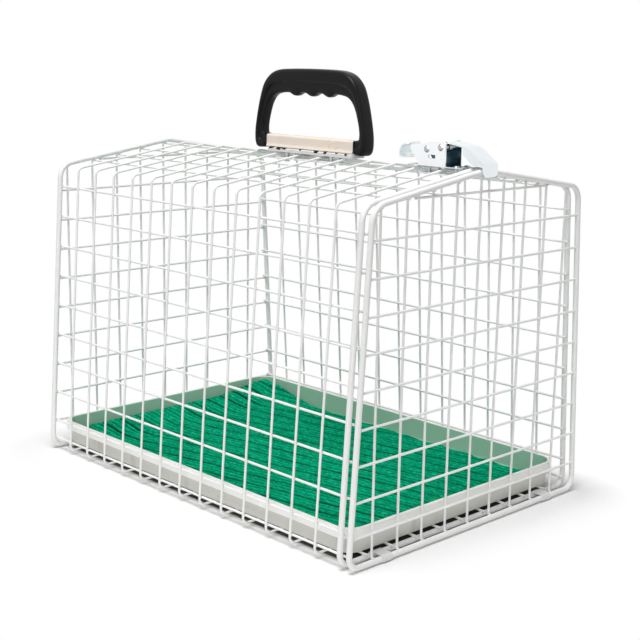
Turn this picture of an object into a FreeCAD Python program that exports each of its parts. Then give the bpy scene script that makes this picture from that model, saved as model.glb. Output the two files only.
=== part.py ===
import FreeCAD, Part
import math
import os
import Sketcher

os.makedirs("parts", exist_ok=True)
doc = FreeCAD.newDocument("pet_crate")
V = FreeCAD.Vector

# Named sizes, all in millimetres or degrees. Every piece below is bound to these cells.
SIZES = [
    ("bar_d", 4.2, "thick coated frame bar, diameter"),
    ("wire_d", 1.8, "thin coated mesh wire, diameter"),
    ("pitch", 25.4, "mesh pitch along the length and across the width"),
    ("row_pitch", 25.1, "height step between the cross wires of door and back"),
    ("half_bottom", 127.9, "half the width between side bar centres at the bottom"),
    ("half_eave", 112.8, "half the width between side bar centres at the eaves"),
    ("bar_z", 2.86, "height of the bottom bars' centre"),
    ("eave_z", 246.6, "height of the eave corner"),
    ("ridge_z", 264.3, "height of the ridge, bar centre"),
    ("cage_mid", 3.8, "middle of the cage along the length"),
    ("door_gap", 9.0, "door bar centre to front frame bar centre"),
    ("floor_r", 9.0, "bend radius at the frames' lower corners"),
    ("eave_r", 13.0, "bend radius at the frames' eaves"),
    ("ridge_r", 16.0, "bend radius at the frames' ridge"),
    ("hoop_r", 4.5, "bend radius of the thin hoops"),
    ("weld_gap", 0.04, "play left between touching wires"),
    ("mesh_shift", -2.0, "sideways shift of the door and roof mesh"),
    ("first_row_z", 23.9, "height of the lowest cross wire"),
    ("side_low_z", 10.2, "height of the lowest side wire"),
    ("side_low_in", 0.4, "how far the lowest side wire stands in for the corner bend"),
    ("side_first_z", 25.6, "height of the second side wire"),
    ("clip_wall", 0.7, "hinge clip sheet thickness"),
    ("clip_gap", 0.06, "running clearance of the bars in the hinge clips"),
    ("clip_width", 10.0, "hinge clip width"),
    ("clip_in", 36.4, "hinge clip centre to the side bars' centre at the bottom"),
    ("tray_clear", 8.3, "tray rim to the side bars' centre at the bottom"),
    ("tray_front", 1.2, "tray rim ahead of the front frame's centre"),
    ("tray_back", 0.8, "tray rim past the back frame's centre"),
    ("tray_z", 6.88, "height of the tray's underside"),
    ("tray_h", 19.1, "tray height"),
    ("tray_wall", 1.8, "tray wall thickness"),
    ("rim_h", 7.2, "height of the tray's rim band"),
    ("rim_out", 1.4, "how far the rim band stands out of the wall"),
    ("tray_r", 14.0, "tray corner radius"),
    ("mat_t", 3.2, "mat thickness"),
    ("mat_gap", 1.3, "mat edge to the tray wall's foot"),
    ("sheet_t", 1.2, "latch sheet thickness"),
    ("latch_half", 9.5, "half the latch housing's width"),
    ("rivet_d", 3.0, "latch rivet diameter"),
    ("spring_wire", 0.7, "latch spring wire diameter"),
    ("handle_half", 63.3, "half the handle's length"),
    ("handle_h", 61.4, "handle height from the feet to the top"),
    ("handle_t", 13.4, "handle thickness"),
    ("handle_z", 5.0, "handle feet above the ridge bar's centre"),
    ("handle_back", 13.65, "handle middle ahead of the cage's middle"),
    ("pivot_up", 9.2, "handle pivot above the ridge bar's centre"),
    ("pin_d", 5.0, "handle pin diameter"),
    ("pin_gap", 0.06, "running clearance of the pins in the handle"),
    ("screw_d", 3.0, "rail screw diameter"),
    ("unit", 1.0, "one drawn millimetre of the latch, rail and clamp plates"),
]
sheet = doc.addObject("Spreadsheet::Sheet", "sizes")
N = {}
for row, (name, value, note) in enumerate(SIZES, start=1):
    sheet.set("A%d" % row, name)
    sheet.set("B%d" % row, str(value))
    sheet.set("C%d" % row, note)
    sheet.setAlias("B%d" % row, name)
    N[name] = value
doc.recompute()

TAPER = "((sizes.half_bottom-sizes.half_eave)/(sizes.eave_z-sizes.bar_z))"
SLOPE = "((sizes.ridge_z-sizes.eave_z)/sizes.half_eave)"
taper = (N["half_bottom"] - N["half_eave"]) / (N["eave_z"] - N["bar_z"])
slope = (N["ridge_z"] - N["eave_z"]) / N["half_eave"]
FRONT = "(sizes.cage_mid-7*sizes.pitch)"
BACK = "(sizes.cage_mid+7*sizes.pitch)"
DOOR = "(sizes.cage_mid-7*sizes.pitch-sizes.door_gap)"
front_y = N["cage_mid"] - 7 * N["pitch"]
back_y = N["cage_mid"] + 7 * N["pitch"]
door_y = front_y - N["door_gap"]
ROW_COUNT = 9
COLUMN_COUNT = 9
HOOP_COUNT = 13
# Inset of the hoops' centre line, and of the long wires' centre line, from the frames' centre line.
LONG_IN = "(sizes.bar_d/2+sizes.wire_d/2+sizes.weld_gap)"
HOOP_IN = "(sizes.bar_d/2-sizes.wire_d/2)"
long_in = N["bar_d"] / 2 + N["wire_d"] / 2 + N["weld_gap"]
hoop_in = N["bar_d"] / 2 - N["wire_d"] / 2

nodes = []


def keep(name, shape_object):
    """Remember one finished sub-part under the name its file gets."""
    shape_object.Label = name
    nodes.append((name, shape_object))
    return shape_object


def bind(thing, prop, expression):
    thing.setExpression(prop, expression)


def plane(body, role):
    for feature in body.Origin.OriginFeatures:
        if feature.Role == role:
            return feature
    return None


def new_body(name):
    body = doc.addObject("PartDesign::Body", name)
    body.AllowCompound = True
    return body


def new_sketch(body, name, role, lift=None):
    sketch = body.newObject("Sketcher::SketchObject", name)
    sketch.AttachmentSupport = [(plane(body, role), "")]
    sketch.MapMode = "FlatFace"
    if lift is not None:
        bind(sketch, "AttachmentOffset.Base.z", lift)
    return sketch


def pin_point(sketch, geometry, end, spot):
    """Hold one sketch point at two distances from the sketch's own zero."""
    for axis, entry in zip(("X", "Y"), spot):
        value, expression = entry if isinstance(entry, tuple) else (entry, None)
        index = sketch.addConstraint(
            Sketcher.Constraint("Distance" + axis, -1, 1, geometry, end, value))
        if expression:
            bind(sketch, "Constraints[%d]" % index, expression)


def number(entry):
    return entry[0] if isinstance(entry, tuple) else entry


def outline(sketch, spots):
    """A closed run of straight lines through spots, each spot held in place."""
    first = sketch.GeometryCount
    count = len(spots)
    flat = [V(number(x), number(y), 0) for x, y in spots]
    for i in range(count):
        sketch.addGeometry(Part.LineSegment(flat[i], flat[(i + 1) % count]), False)
    for i in range(count):
        after = first + (i + 1) % count
        sketch.addConstraint(Sketcher.Constraint("Coincident", first + i, 2, after, 1))
    for i in range(count):
        pin_point(sketch, first + i, 1, spots[i])


def circle(sketch, spot, radius, expression=None):
    centre = V(number(spot[0]), number(spot[1]), 0)
    geometry = sketch.addGeometry(Part.Circle(centre, V(0, 0, 1), radius), False)
    index = sketch.addConstraint(Sketcher.Constraint("Radius", geometry, radius))
    if expression:
        bind(sketch, "Constraints[%d]" % index, expression)
    pin_point(sketch, geometry, 3, spot)
    return geometry


def rounded_loop(sketch, corners, radii, split_first=False):
    """A closed loop of lines joined by tangent arcs.

    corners are the sharp corner spots in order, radii one (value, expression) for each,
    or None where a corner stays sharp.
    A construction polygon holds the sharp corners, and the real lines lie along it.
    split_first breaks the first side at its middle, so that a sweep can start there.
    """
    count = len(corners)
    flat = [V(number(x), number(y), 0) for x, y in corners]
    guide = sketch.GeometryCount
    for i in range(count):
        sketch.addGeometry(Part.LineSegment(flat[i], flat[(i + 1) % count]), True)
    for i in range(count):
        after = guide + (i + 1) % count
        sketch.addConstraint(Sketcher.Constraint("Coincident", guide + i, 2, after, 1))
    for i in range(count):
        pin_point(sketch, guide + i, 1, corners[i])
    starts, ends, arcs = {}, {}, []
    for i in range(count):
        before, here, after = flat[i - 1], flat[i], flat[(i + 1) % count]
        if radii[i] is None:
            starts[i] = ends[(i - 1) % count] = here
            arcs.append(None)
            continue
        back = (before - here).normalize()
        ahead = (after - here).normalize()
        half_angle = back.getAngle(ahead) / 2
        radius = radii[i][0]
        reach = radius / math.tan(half_angle)
        ends[(i - 1) % count] = here + back * reach
        starts[i] = here + ahead * reach
        middle = (back + ahead).normalize() * (radius / math.sin(half_angle))
        centre = here + middle
        arcs.append(corner_arc(ends[(i - 1) % count], centre, starts[i]))
    order = []
    for i in range(count):
        if split_first and i == 0:
            middle = (flat[0] + flat[1]) * 0.5
            order.append(("half", 0, starts[0], middle))
            order.append(("rest", 0, middle, ends[0]))
        else:
            order.append(("line", i, starts[i], ends[i]))
    if split_first:
        # begin the loop at the middle of the first side
        order = order[1:] + order[:1]
    lines = {}
    for kind, i, a, b in order:
        lines[(kind, i)] = sketch.addGeometry(Part.LineSegment(a, b), False)
    arc_ids = [arc and sketch.addGeometry(arc[0], False) for arc in arcs]

    def line_into(i):
        """The real line that ends at corner i, and its end."""
        side = (i - 1) % count
        return lines[("rest", 0)] if split_first and side == 0 else lines[("line", side)]

    def line_out(i):
        return lines[("half", 0)] if split_first and i == 0 else lines[("line", i)]

    for i in range(count):
        if arcs[i] is None:
            into, out = line_into(i), line_out(i)
            sketch.addConstraint(Sketcher.Constraint("Coincident", into, 2, guide + i, 1))
            sketch.addConstraint(Sketcher.Constraint("Coincident", out, 1, guide + i, 1))
            continue
        first_end, other_end = arcs[i][1:]
        sketch.addConstraint(
            Sketcher.Constraint("Tangent", line_into(i), 2, arc_ids[i], first_end))
        sketch.addConstraint(
            Sketcher.Constraint("Tangent", line_out(i), 1, arc_ids[i], other_end))
        index = sketch.addConstraint(
            Sketcher.Constraint("Radius", arc_ids[i], radii[i][0]))
        if radii[i][1]:
            bind(sketch, "Constraints[%d]" % index, radii[i][1])
        out = line_out(i)
        sketch.addConstraint(Sketcher.Constraint("PointOnObject", out, 1, guide + i))
        into = line_into(i)
        side = (i - 1) % count
        sketch.addConstraint(Sketcher.Constraint("PointOnObject", into, 2, guide + side))
    if split_first:
        a, b = lines[("half", 0)], lines[("rest", 0)]
        sketch.addConstraint(Sketcher.Constraint("Coincident", a, 2, b, 1))
        sketch.addConstraint(Sketcher.Constraint("PointOnObject", b, 1, -2))
        sketch.addConstraint(Sketcher.Constraint("PointOnObject", b, 1, guide))


def corner_arc(enter, centre, leave):
    """The short arc from enter to leave, always stored anticlockwise, and its two ends."""
    start = math.atan2(enter.y - centre.y, enter.x - centre.x)
    stop = math.atan2(leave.y - centre.y, leave.x - centre.x)
    turn = (stop - start) % (2 * math.pi)
    ring = Part.Circle(centre, V(0, 0, 1), (enter - centre).Length)
    if turn < math.pi:
        return Part.ArcOfCircle(ring, start, start + turn), 1, 2
    return Part.ArcOfCircle(ring, stop, stop + 2 * math.pi - turn), 2, 1


def house_corners(inset_value, inset_text, floor_value, floor_text):
    """Sharp corners of the house-shaped loop, set in from the frames' centre line."""
    t = "%s" % TAPER
    low_x = N["half_bottom"] - taper * (floor_value - N["bar_z"]) - inset_value * 1.002
    low_x_text = "sizes.half_bottom-%s*(%s-sizes.bar_z)-%s*1.002" % (t, floor_text, inset_text)
    eave_x = N["half_eave"] - inset_value * 0.95
    eave_x_text = "sizes.half_eave-%s*0.95" % inset_text
    eave = N["eave_z"] - inset_value * 0.862
    eave_text = "sizes.eave_z-%s*0.862" % inset_text
    ridge = N["ridge_z"] - inset_value * 1.0122
    ridge_text = "sizes.ridge_z-%s*1.0122" % inset_text
    low = (floor_value, floor_text)
    return [
        ((-low_x, "-(%s)" % low_x_text), low),
        ((low_x, low_x_text), low),
        ((eave_x, eave_x_text), (eave, eave_text)),
        ((0.0, "0*sizes.pitch"), (ridge, ridge_text)),
        ((-eave_x, "-(%s)" % eave_x_text), (eave, eave_text)),
    ]


def radius_pair(alias, shrink=None, text=None):
    if shrink is None:
        return (N[alias], "sizes." + alias)
    return (N[alias] - shrink, "sizes.%s-%s" % (alias, text))


def bent_loop(name, corners, radii, across, across_text, y_text, floor, floor_text, repeat=1):
    """One closed loop of round wire swept along a rounded house outline."""
    body = new_body(name)
    path = new_sketch(body, name + "_path", "XZ_Plane")
    rounded_loop(path, corners, radii, split_first=True)
    ring = new_sketch(body, name + "_section", "YZ_Plane")
    circle(ring, (0.0, (floor, floor_text)), across / 2, across_text)
    doc.recompute()
    pipe = body.newObject("PartDesign::AdditivePipe", name + "_sweep")
    pipe.Profile = ring
    pipe.Spine = (path, [])
    doc.recompute()
    tip = pipe
    if repeat > 1:
        row = body.newObject("PartDesign::LinearPattern", name + "_row")
        row.Originals = [pipe]
        row.Direction = (plane(body, "Y_Axis"), [""])
        row.Occurrences = repeat
        bind(row, "Length", "sizes.pitch*%d" % (repeat - 1))
        body.Tip = row
        tip = row
    bind(body, "Placement.Base.y", y_text)
    doc.recompute()
    return keep(name, body), tip


def straight_wire(name, start, end_length, turn, across="sizes.wire_d/2"):
    """One straight round wire: a cylinder whose place and length are bound."""
    wire = doc.addObject("Part::Cylinder", name)
    wire.Placement = FreeCAD.Placement(V(0, 0, 0), turn)
    bind(wire, "Radius", across)
    bind(wire, "Height", end_length)
    for axis, text in zip("xyz", start):
        bind(wire, "Placement.Base." + axis, text)
    return wire


def group(name, pieces):
    together = doc.addObject("Part::Compound", name)
    together.Links = pieces
    return keep(name, together)


ALONG_Y = FreeCAD.Rotation(V(1, 0, 0), -90)
ALONG_X = FreeCAD.Rotation(V(0, 1, 0), 90)
UPRIGHT = FreeCAD.Rotation()

# Front and back frames: thick bars bent to a house outline.
thick_radii = [radius_pair("floor_r"), radius_pair("floor_r"), radius_pair("eave_r"),
               radius_pair("ridge_r"), radius_pair("eave_r")]
frame_corners = house_corners(0.0, "0", N["bar_z"], "sizes.bar_z")
bent_loop("front_frame", frame_corners, thick_radii, N["bar_d"], "sizes.bar_d/2",
          FRONT, N["bar_z"], "sizes.bar_z")
bent_loop("back_frame", frame_corners, thick_radii, N["bar_d"], "sizes.bar_d/2",
          BACK, N["bar_z"], "sizes.bar_z")

# Thin hoops that run round the cage, under and outside the long wires.
hoop_floor = N["bar_z"] + long_in - N["wire_d"] - N["weld_gap"]
HOOP_FLOOR = "sizes.bar_z+%s-sizes.wire_d-sizes.weld_gap" % LONG_IN
hoop_radii = [radius_pair("hoop_r")] * 5
bent_loop("hoop_wires", house_corners(hoop_in, HOOP_IN, hoop_floor, "(%s)" % HOOP_FLOOR),
          hoop_radii, N["wire_d"], "sizes.wire_d/2", FRONT + "+sizes.pitch",
          hoop_floor, HOOP_FLOOR, HOOP_COUNT)

# Long wires of the two sides, the roof and the floor.
LONG_START = FRONT + "-" + LONG_IN
LONG_LENGTH = "14*sizes.pitch+" + LONG_IN + "+sizes.bar_d/2"
for side, sign in (("left", "-"), ("right", "")):
    wires = []
    for k in range(10):
        if k == 0:
            height = "sizes.side_low_z"
        else:
            height = "(sizes.side_first_z+%d*sizes.pitch*0.998)" % (k - 1)
        across = "%s(sizes.half_bottom-%s*(%s-sizes.bar_z)-%s*1.002%s)" % (
            sign, TAPER, height, LONG_IN, "-sizes.side_low_in" if k == 0 else "")
        wires.append(straight_wire("%s_side_wire_%d" % (side, k + 1),
                                   (across, LONG_START, height), LONG_LENGTH, ALONG_Y))
    group(side + "_side_wires", wires)
wires = []
for i in range(1, COLUMN_COUNT - 1):
    across = "(sizes.mesh_shift+%d*sizes.pitch)" % (i - 4)
    height = "sizes.ridge_z-%s*abs(%s)-%s*1.0122" % (SLOPE, across, LONG_IN)
    wires.append(straight_wire("roof_wire_%d" % i, (across, LONG_START, height),
                               LONG_LENGTH, ALONG_Y))
group("roof_wires", wires)
wires = []
for i in range(COLUMN_COUNT):
    across = "sizes.mesh_shift+%d*sizes.pitch" % (i - 4)
    wires.append(straight_wire("floor_wire_%d" % (i + 1),
                               (across, LONG_START, "sizes.bar_z+" + LONG_IN),
                               LONG_LENGTH, ALONG_Y))
group("floor_wires", wires)


def mesh_panel(prefix, plane_y, behind):
    """Uprights and cross wires of a flat panel inside one frame.

    The cross wires stop against the side bars, the uprights lie against the cross wires
    on the side that behind names and stop against the bottom and roof bars.
    """
    uprights, rows = [], []
    lap = "(sizes.bar_d/2+0.12)"
    upright_y = "%s%s(sizes.wire_d+sizes.weld_gap)" % (plane_y, behind)
    for i in range(COLUMN_COUNT):
        across = "(sizes.mesh_shift+%d*sizes.pitch)" % (i - 4)
        foot = "(sizes.bar_z+%s)" % lap
        top = "(sizes.ridge_z-%s*abs(%s)-%s*1.03)" % (SLOPE, across, lap)
        if i in (0, 4, 8):
            top += "-0.3"
        uprights.append(straight_wire("%s_upright_%d" % (prefix, i + 1),
                                      (across, upright_y, foot),
                                      top + "-" + foot, UPRIGHT))
    for k in range(ROW_COUNT):
        height = "(sizes.first_row_z+%d*sizes.row_pitch)" % k
        half = "(sizes.half_bottom-%s*(%s-sizes.bar_z)-%s*1.03)" % (TAPER, height, lap)
        rows.append(straight_wire("%s_row_%d" % (prefix, k + 1),
                                  ("-" + half, plane_y, height), "2*" + half, ALONG_X))
    height = "(sizes.first_row_z+%d*sizes.row_pitch)" % ROW_COUNT
    half = "((sizes.ridge_z-%s-sizes.wire_d/2-%s*1.03)/%s)" % (height, lap, SLOPE)
    rows.append(straight_wire("%s_row_%d" % (prefix, ROW_COUNT + 1),
                              ("-" + half, plane_y, height), "2*" + half, ALONG_X))
    group(prefix + "_upright_wires", uprights)
    group(prefix + "_cross_wires", rows)


# Back panel: its mesh lies on the back frame's outer side, uprights outermost.
mesh_panel("back", BACK + "+" + LONG_IN, "+")

# Door: one bent bar and its mesh, uprights on the inner side.
bent_loop("door_frame", frame_corners, thick_radii, N["bar_d"], "sizes.bar_d/2",
          DOOR, N["bar_z"], "sizes.bar_z")
mesh_panel("door", DOOR, "+")

# Hinge clips: a strap round the door's bottom bar and the front frame's bottom bar.
clip_in = N["bar_d"] / 2 + N["clip_gap"]
CLIP_IN = "(sizes.bar_d/2+sizes.clip_gap)"


def slot_loop(sketch, reach, reach_text, height, height_text, radius, radius_text):
    """A slot outline: two half circles and two straight sides, along the sketch's X."""
    a, b = V(-reach, height, 0), V(0, height, 0)
    up, down = V(0, radius, 0), V(0, -radius, 0)
    first = sketch.GeometryCount
    sketch.addGeometry(Part.Arc(a + up, a - V(radius, 0, 0), a + down), False)
    sketch.addGeometry(Part.LineSegment(a + down, b + down), False)
    sketch.addGeometry(Part.Arc(b + down, b + V(radius, 0, 0), b + up), False)
    sketch.addGeometry(Part.LineSegment(b + up, a + up), False)
    left, low, right, high = first, first + 1, first + 2, first + 3

    def end_at(geometry, spot):
        return 1 if (sketch.Geometry[geometry].StartPoint - spot).Length < 1e-6 else 2

    sketch.addConstraint(Sketcher.Constraint("Tangent", left, end_at(left, a + down), low, 1))
    sketch.addConstraint(Sketcher.Constraint("Tangent", low, 2, right, end_at(right, b + down)))
    sketch.addConstraint(Sketcher.Constraint("Tangent", right, end_at(right, b + up), high, 1))
    sketch.addConstraint(Sketcher.Constraint("Tangent", high, 2, left, end_at(left, a + up)))
    sketch.addConstraint(Sketcher.Constraint("Horizontal", low))
    index = sketch.addConstraint(Sketcher.Constraint("Radius", left, radius))
    bind(sketch, "Constraints[%d]" % index, radius_text)
    pin_point(sketch, left, 3, ((-reach, "-" + reach_text), (height, height_text)))
    pin_point(sketch, right, 3, ((0.0, "0*sizes.pitch"), (height, height_text)))


for side, sign in (("left", "-"), ("right", "")):
    body = new_body("hinge_clip_" + side)
    strap = new_sketch(body, "hinge_clip_%s_outline" % side, "YZ_Plane")
    slot_loop(strap, N["door_gap"], "sizes.door_gap", N["bar_z"], "sizes.bar_z",
              clip_in + N["clip_wall"], CLIP_IN + "+sizes.clip_wall")
    slot_loop(strap, N["door_gap"], "sizes.door_gap", N["bar_z"], "sizes.bar_z",
              clip_in, CLIP_IN)
    pad = body.newObject("PartDesign::Pad", "hinge_clip_%s_strap" % side)
    pad.Profile = strap
    pad.Midplane = True
    bind(pad, "Length", "sizes.clip_width")
    bind(body, "Placement.Base.x", sign + "(sizes.half_bottom-sizes.clip_in)")
    bind(body, "Placement.Base.y", FRONT)
    keep("hinge_clip_" + side, body)


def rounded_chain(sketch, corners, radii):
    """An open path of lines joined by tangent arcs, held by a construction chain."""
    flat = [V(number(x), number(y), 0) for x, y in corners]
    count = len(flat)
    guide = sketch.GeometryCount
    for i in range(count - 1):
        sketch.addGeometry(Part.LineSegment(flat[i], flat[i + 1]), True)
    for i in range(count - 2):
        sketch.addConstraint(Sketcher.Constraint("Coincident", guide + i, 2, guide + i + 1, 1))
    for i in range(count - 1):
        pin_point(sketch, guide + i, 1, corners[i])
    pin_point(sketch, guide + count - 2, 2, corners[-1])
    points = [flat[0]]
    arcs = []
    for i in range(1, count - 1):
        back = (flat[i - 1] - flat[i]).normalize()
        ahead = (flat[i + 1] - flat[i]).normalize()
        half_angle = back.getAngle(ahead) / 2
        radius = radii[i - 1][0]
        reach = radius / math.tan(half_angle)
        enter = flat[i] + back * reach
        leave = flat[i] + ahead * reach
        centre = flat[i] + (back + ahead).normalize() * (radius / math.sin(half_angle))
        arcs.append(corner_arc(enter, centre, leave))
        points += [enter, leave]
    points.append(flat[-1])
    lines = []
    for i in range(count - 1):
        segment = Part.LineSegment(points[2 * i], points[2 * i + 1])
        lines.append(sketch.addGeometry(segment, False))
    for i, (curve, first, other) in enumerate(arcs):
        arc = sketch.addGeometry(curve, False)
        sketch.addConstraint(Sketcher.Constraint("Tangent", lines[i], 2, arc, first))
        sketch.addConstraint(Sketcher.Constraint("Tangent", lines[i + 1], 1, arc, other))
        index = sketch.addConstraint(Sketcher.Constraint("Radius", arc, radii[i][0]))
        if radii[i][1]:
            bind(sketch, "Constraints[%d]" % index, radii[i][1])
        sketch.addConstraint(Sketcher.Constraint("PointOnObject", lines[i], 2, guide + i))
        sketch.addConstraint(Sketcher.Constraint("PointOnObject", lines[i + 1], 1, guide + i + 1))
    sketch.addConstraint(Sketcher.Constraint("Coincident", lines[0], 1, guide, 1))
    sketch.addConstraint(Sketcher.Constraint("Coincident", lines[-1], 2, guide + count - 2, 2))


def pad(body, name, sketch, length, both=True, back=False):
    feature = body.newObject("PartDesign::Pad", name)
    feature.Profile = sketch
    feature.Midplane = both
    feature.Reversed = back
    bind(feature, "Length", length)
    doc.recompute()
    return feature


def cut(body, name, sketch, length, both=False, back=False):
    feature = body.newObject("PartDesign::Pocket", name)
    feature.Profile = sketch
    feature.Midplane = both
    feature.Reversed = back
    bind(feature, "Length", length)
    doc.recompute()
    return feature


def round_edges(body, name, base, radius, test, chamfer=False):
    kind = "PartDesign::Chamfer" if chamfer else "PartDesign::Fillet"
    chosen = ["Edge%d" % (i + 1) for i, edge in enumerate(base.Shape.Edges) if test(edge)]
    feature = body.newObject(kind, name)
    feature.Base = (base, chosen)
    bind(feature, "Size" if chamfer else "Radius", radius)
    doc.recompute()
    return feature


def rectangle(sketch, low, high):
    (x0, y0), (x1, y1) = low, high
    outline(sketch, [(x0, y0), (x1, y0), (x1, y1), (x0, y1)])


# Tray: a shallow pan with sloped walls and a proud rim band.
tray_x = N["half_bottom"] - N["tray_clear"]
TRAY_X = "(sizes.half_bottom-sizes.tray_clear)"
tray_y = 7 * N["pitch"] + (N["tray_front"] + N["tray_back"]) / 2
TRAY_Y = "(7*sizes.pitch+(sizes.tray_front+sizes.tray_back)/2)"
SLANT = 2.7


def pan_sketch(body, name, inset, inset_text, lift, radius, radius_text):
    sketch = new_sketch(body, name, "XY_Plane", lift)
    x = (tray_x - inset, "%s-%s" % (TRAY_X, inset_text))
    y = (tray_y - inset, "%s-%s" % (TRAY_Y, inset_text))
    x_low = (-x[0], "-(%s)" % x[1])
    y_low = (-y[0], "-(%s)" % y[1])
    corners = [(x_low, y_low), (x, y_low), (x, y), (x_low, y)]
    rounded_loop(sketch, corners, [(radius, radius_text)] * 4)
    return sketch


def between(body, name, kind, low, high):
    feature = body.newObject("PartDesign::" + kind, name)
    feature.Profile = low
    feature.Sections = [high]
    doc.recompute()
    return feature


body = new_body("tray")
foot = pan_sketch(body, "tray_foot", N["rim_out"] + SLANT, "(sizes.rim_out+2.7)", None,
                  N["tray_r"] - 2.5, "sizes.tray_r-2.5")
brow = pan_sketch(body, "tray_brow", N["rim_out"], "sizes.rim_out", "sizes.tray_h",
                  N["tray_r"], "sizes.tray_r")
between(body, "tray_outer", "AdditiveLoft", foot, brow)
band = pan_sketch(body, "tray_band", 0.0, "0", "sizes.tray_h-sizes.rim_h",
                  N["tray_r"] + N["rim_out"], "sizes.tray_r+sizes.rim_out")
rim = pad(body, "tray_rim", band, "sizes.rim_h", both=False)
WALL = N["tray_wall"]
well_low = pan_sketch(body, "tray_well_low", N["rim_out"] + SLANT + WALL - 0.25,
                      "(sizes.rim_out+2.45+sizes.tray_wall)", "sizes.tray_wall",
                      N["tray_r"] - 4.0, "sizes.tray_r-4")
well_high = pan_sketch(body, "tray_well_high", N["rim_out"] + WALL,
                       "(sizes.rim_out+sizes.tray_wall)", "sizes.tray_h+0.01",
                       N["tray_r"] - 1.6, "sizes.tray_r-1.6")
well = between(body, "tray_well", "SubtractiveLoft", well_low, well_high)


def level(edge, height):
    box = edge.BoundBox
    return abs(box.ZMin - height) < 1e-3 and abs(box.ZMax - height) < 1e-3


soft = round_edges(body, "tray_top_edge", well, "0.7", lambda e: level(e, N["tray_h"]))
soft = round_edges(body, "tray_floor_edge", soft, "2", lambda e: level(e, WALL))
body.Tip = soft
bind(body, "Placement.Base.y", "sizes.cage_mid+(sizes.tray_back-sizes.tray_front)/2")
bind(body, "Placement.Base.z", "sizes.tray_z")
keep("tray", body)

# Mat: a loose ribbed mat that lies on the tray floor.
body = new_body("mat")
edge_in = N["rim_out"] + SLANT + WALL + N["mat_gap"]
sheet_face = pan_sketch(body, "mat_outline", edge_in,
                        "(sizes.rim_out+2.7+sizes.tray_wall+sizes.mat_gap)", None,
                        N["tray_r"] - 5.0, "sizes.tray_r-5")
slab = pad(body, "mat_slab", sheet_face, "sizes.mat_t", both=False)
soft = round_edges(body, "mat_edge", slab, "0.8", lambda e: level(e, N["mat_t"]))
body.Tip = soft
bind(body, "Placement.Base.y", "sizes.cage_mid+(sizes.tray_back-sizes.tray_front)/2")
bind(body, "Placement.Base.z", "sizes.tray_z+sizes.tray_wall+0.05")
keep("mat", body)

# Latch housing: a bent channel that straddles the ridge.
SHEET = N["sheet_t"]
BASE_Z = -0.3


def place_on_ridge(thing):
    bind(thing, "Placement.Base.y", FRONT)
    bind(thing, "Placement.Base.z", "sizes.ridge_z")


body = new_body("latch_housing")
side = new_sketch(body, "latch_side", "YZ_Plane")
FLOOR = (BASE_Z + SHEET, "sizes.sheet_t-0.3*sizes.unit")
outline(side, [
    ((5.2, "5.2*sizes.unit"), (BASE_Z, "-0.3*sizes.unit")),
    ((56.0, "56*sizes.unit"), (BASE_Z, "-0.3*sizes.unit")),
    ((56.0, "56*sizes.unit"), FLOOR),
    ((45.5, "45.5*sizes.unit"), FLOOR),
    ((55.5, "55.5*sizes.unit"), (14.4, "14.4*sizes.unit")),
    ((20.5, "20.5*sizes.unit"), (18.9, "18.9*sizes.unit")),
    ((20.5, "20.5*sizes.unit"), FLOOR),
    ((5.2, "5.2*sizes.unit"), FLOOR),
])
block = pad(body, "latch_block", side, "2*sizes.latch_half")
hollow = new_sketch(body, "latch_hollow_outline", "XZ_Plane", "-70*sizes.unit")
half_in = N["latch_half"] - SHEET
HALF_IN = "(sizes.latch_half-sizes.sheet_t)"
rectangle(hollow, ((-half_in, "-" + HALF_IN), FLOOR), ((half_in, HALF_IN), (25.0, "25*sizes.unit")))
channel = cut(body, "latch_hollow", hollow, "140", both=True)
pins = new_sketch(body, "latch_rivet_holes", "YZ_Plane")
circle(pins, ((38.0, "38*sizes.unit"), (12.4, "12.4*sizes.unit")), 1.52, "sizes.rivet_d/2+0.02")
circle(pins, ((25.0, "25*sizes.unit"), (14.2, "14.2*sizes.unit")), 1.52, "sizes.rivet_d/2+0.02")
holes = cut(body, "latch_rivet_cut", pins, "30", both=True)
window = new_sketch(body, "latch_slot_outline", "YZ_Plane")
rectangle(window, ((29.75, "29.75*sizes.unit"), (6.0, "6*sizes.unit")), ((36.25, "36.25*sizes.unit"), (8.6, "8.6*sizes.unit")))
slot = cut(body, "latch_slot", window, "20", back=False)
feet = new_sketch(body, "latch_base_holes", "XY_Plane", "-5*sizes.unit")
for y in (12.7, 38.1):
    for x in (-6.0, 6.0):
        circle(feet, ((x, "%s*sizes.unit" % x), (y, "%s*sizes.unit" % y)), 1.52, "sizes.rivet_d/2+0.02")
base = cut(body, "latch_base_cut", feet, "16", both=True)


def upright_corner(edge):
    box = edge.BoundBox
    return box.XLength > 1.0 and box.YLength < 1e-3 and box.ZLength < 1e-3 and box.ZMin > 10


soft = round_edges(body, "latch_cheek_corners", base, "2", upright_corner)


def bend_edge(edge):
    box = edge.BoundBox
    side_edge = abs(abs(box.XMin) - N["latch_half"]) < 1e-3 and box.XLength < 1e-3
    return side_edge and level(edge, BASE_Z)


soft = round_edges(body, "latch_bends", soft, "sizes.sheet_t*0.9", bend_edge)
body.Tip = soft
place_on_ridge(body)
keep("latch_housing", body)


def rod(name, radius, length, base_spot, turn):
    piece = doc.addObject("Part::Cylinder", name)
    piece.Placement = FreeCAD.Placement(V(0, 0, 0), turn)
    bind(piece, "Radius", radius)
    bind(piece, "Height", length)
    for axis, text in zip("xyz", base_spot):
        bind(piece, "Placement.Base." + axis, text)
    return piece


def button(name, wide, narrow, height, base_spot, turn):
    piece = doc.addObject("Part::Cone", name)
    piece.Placement = FreeCAD.Placement(V(0, 0, 0), turn)
    bind(piece, "Radius1", wide)
    bind(piece, "Radius2", narrow)
    bind(piece, "Height", height)
    for axis, text in zip("xyz", base_spot):
        bind(piece, "Placement.Base." + axis, text)
    return piece


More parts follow.
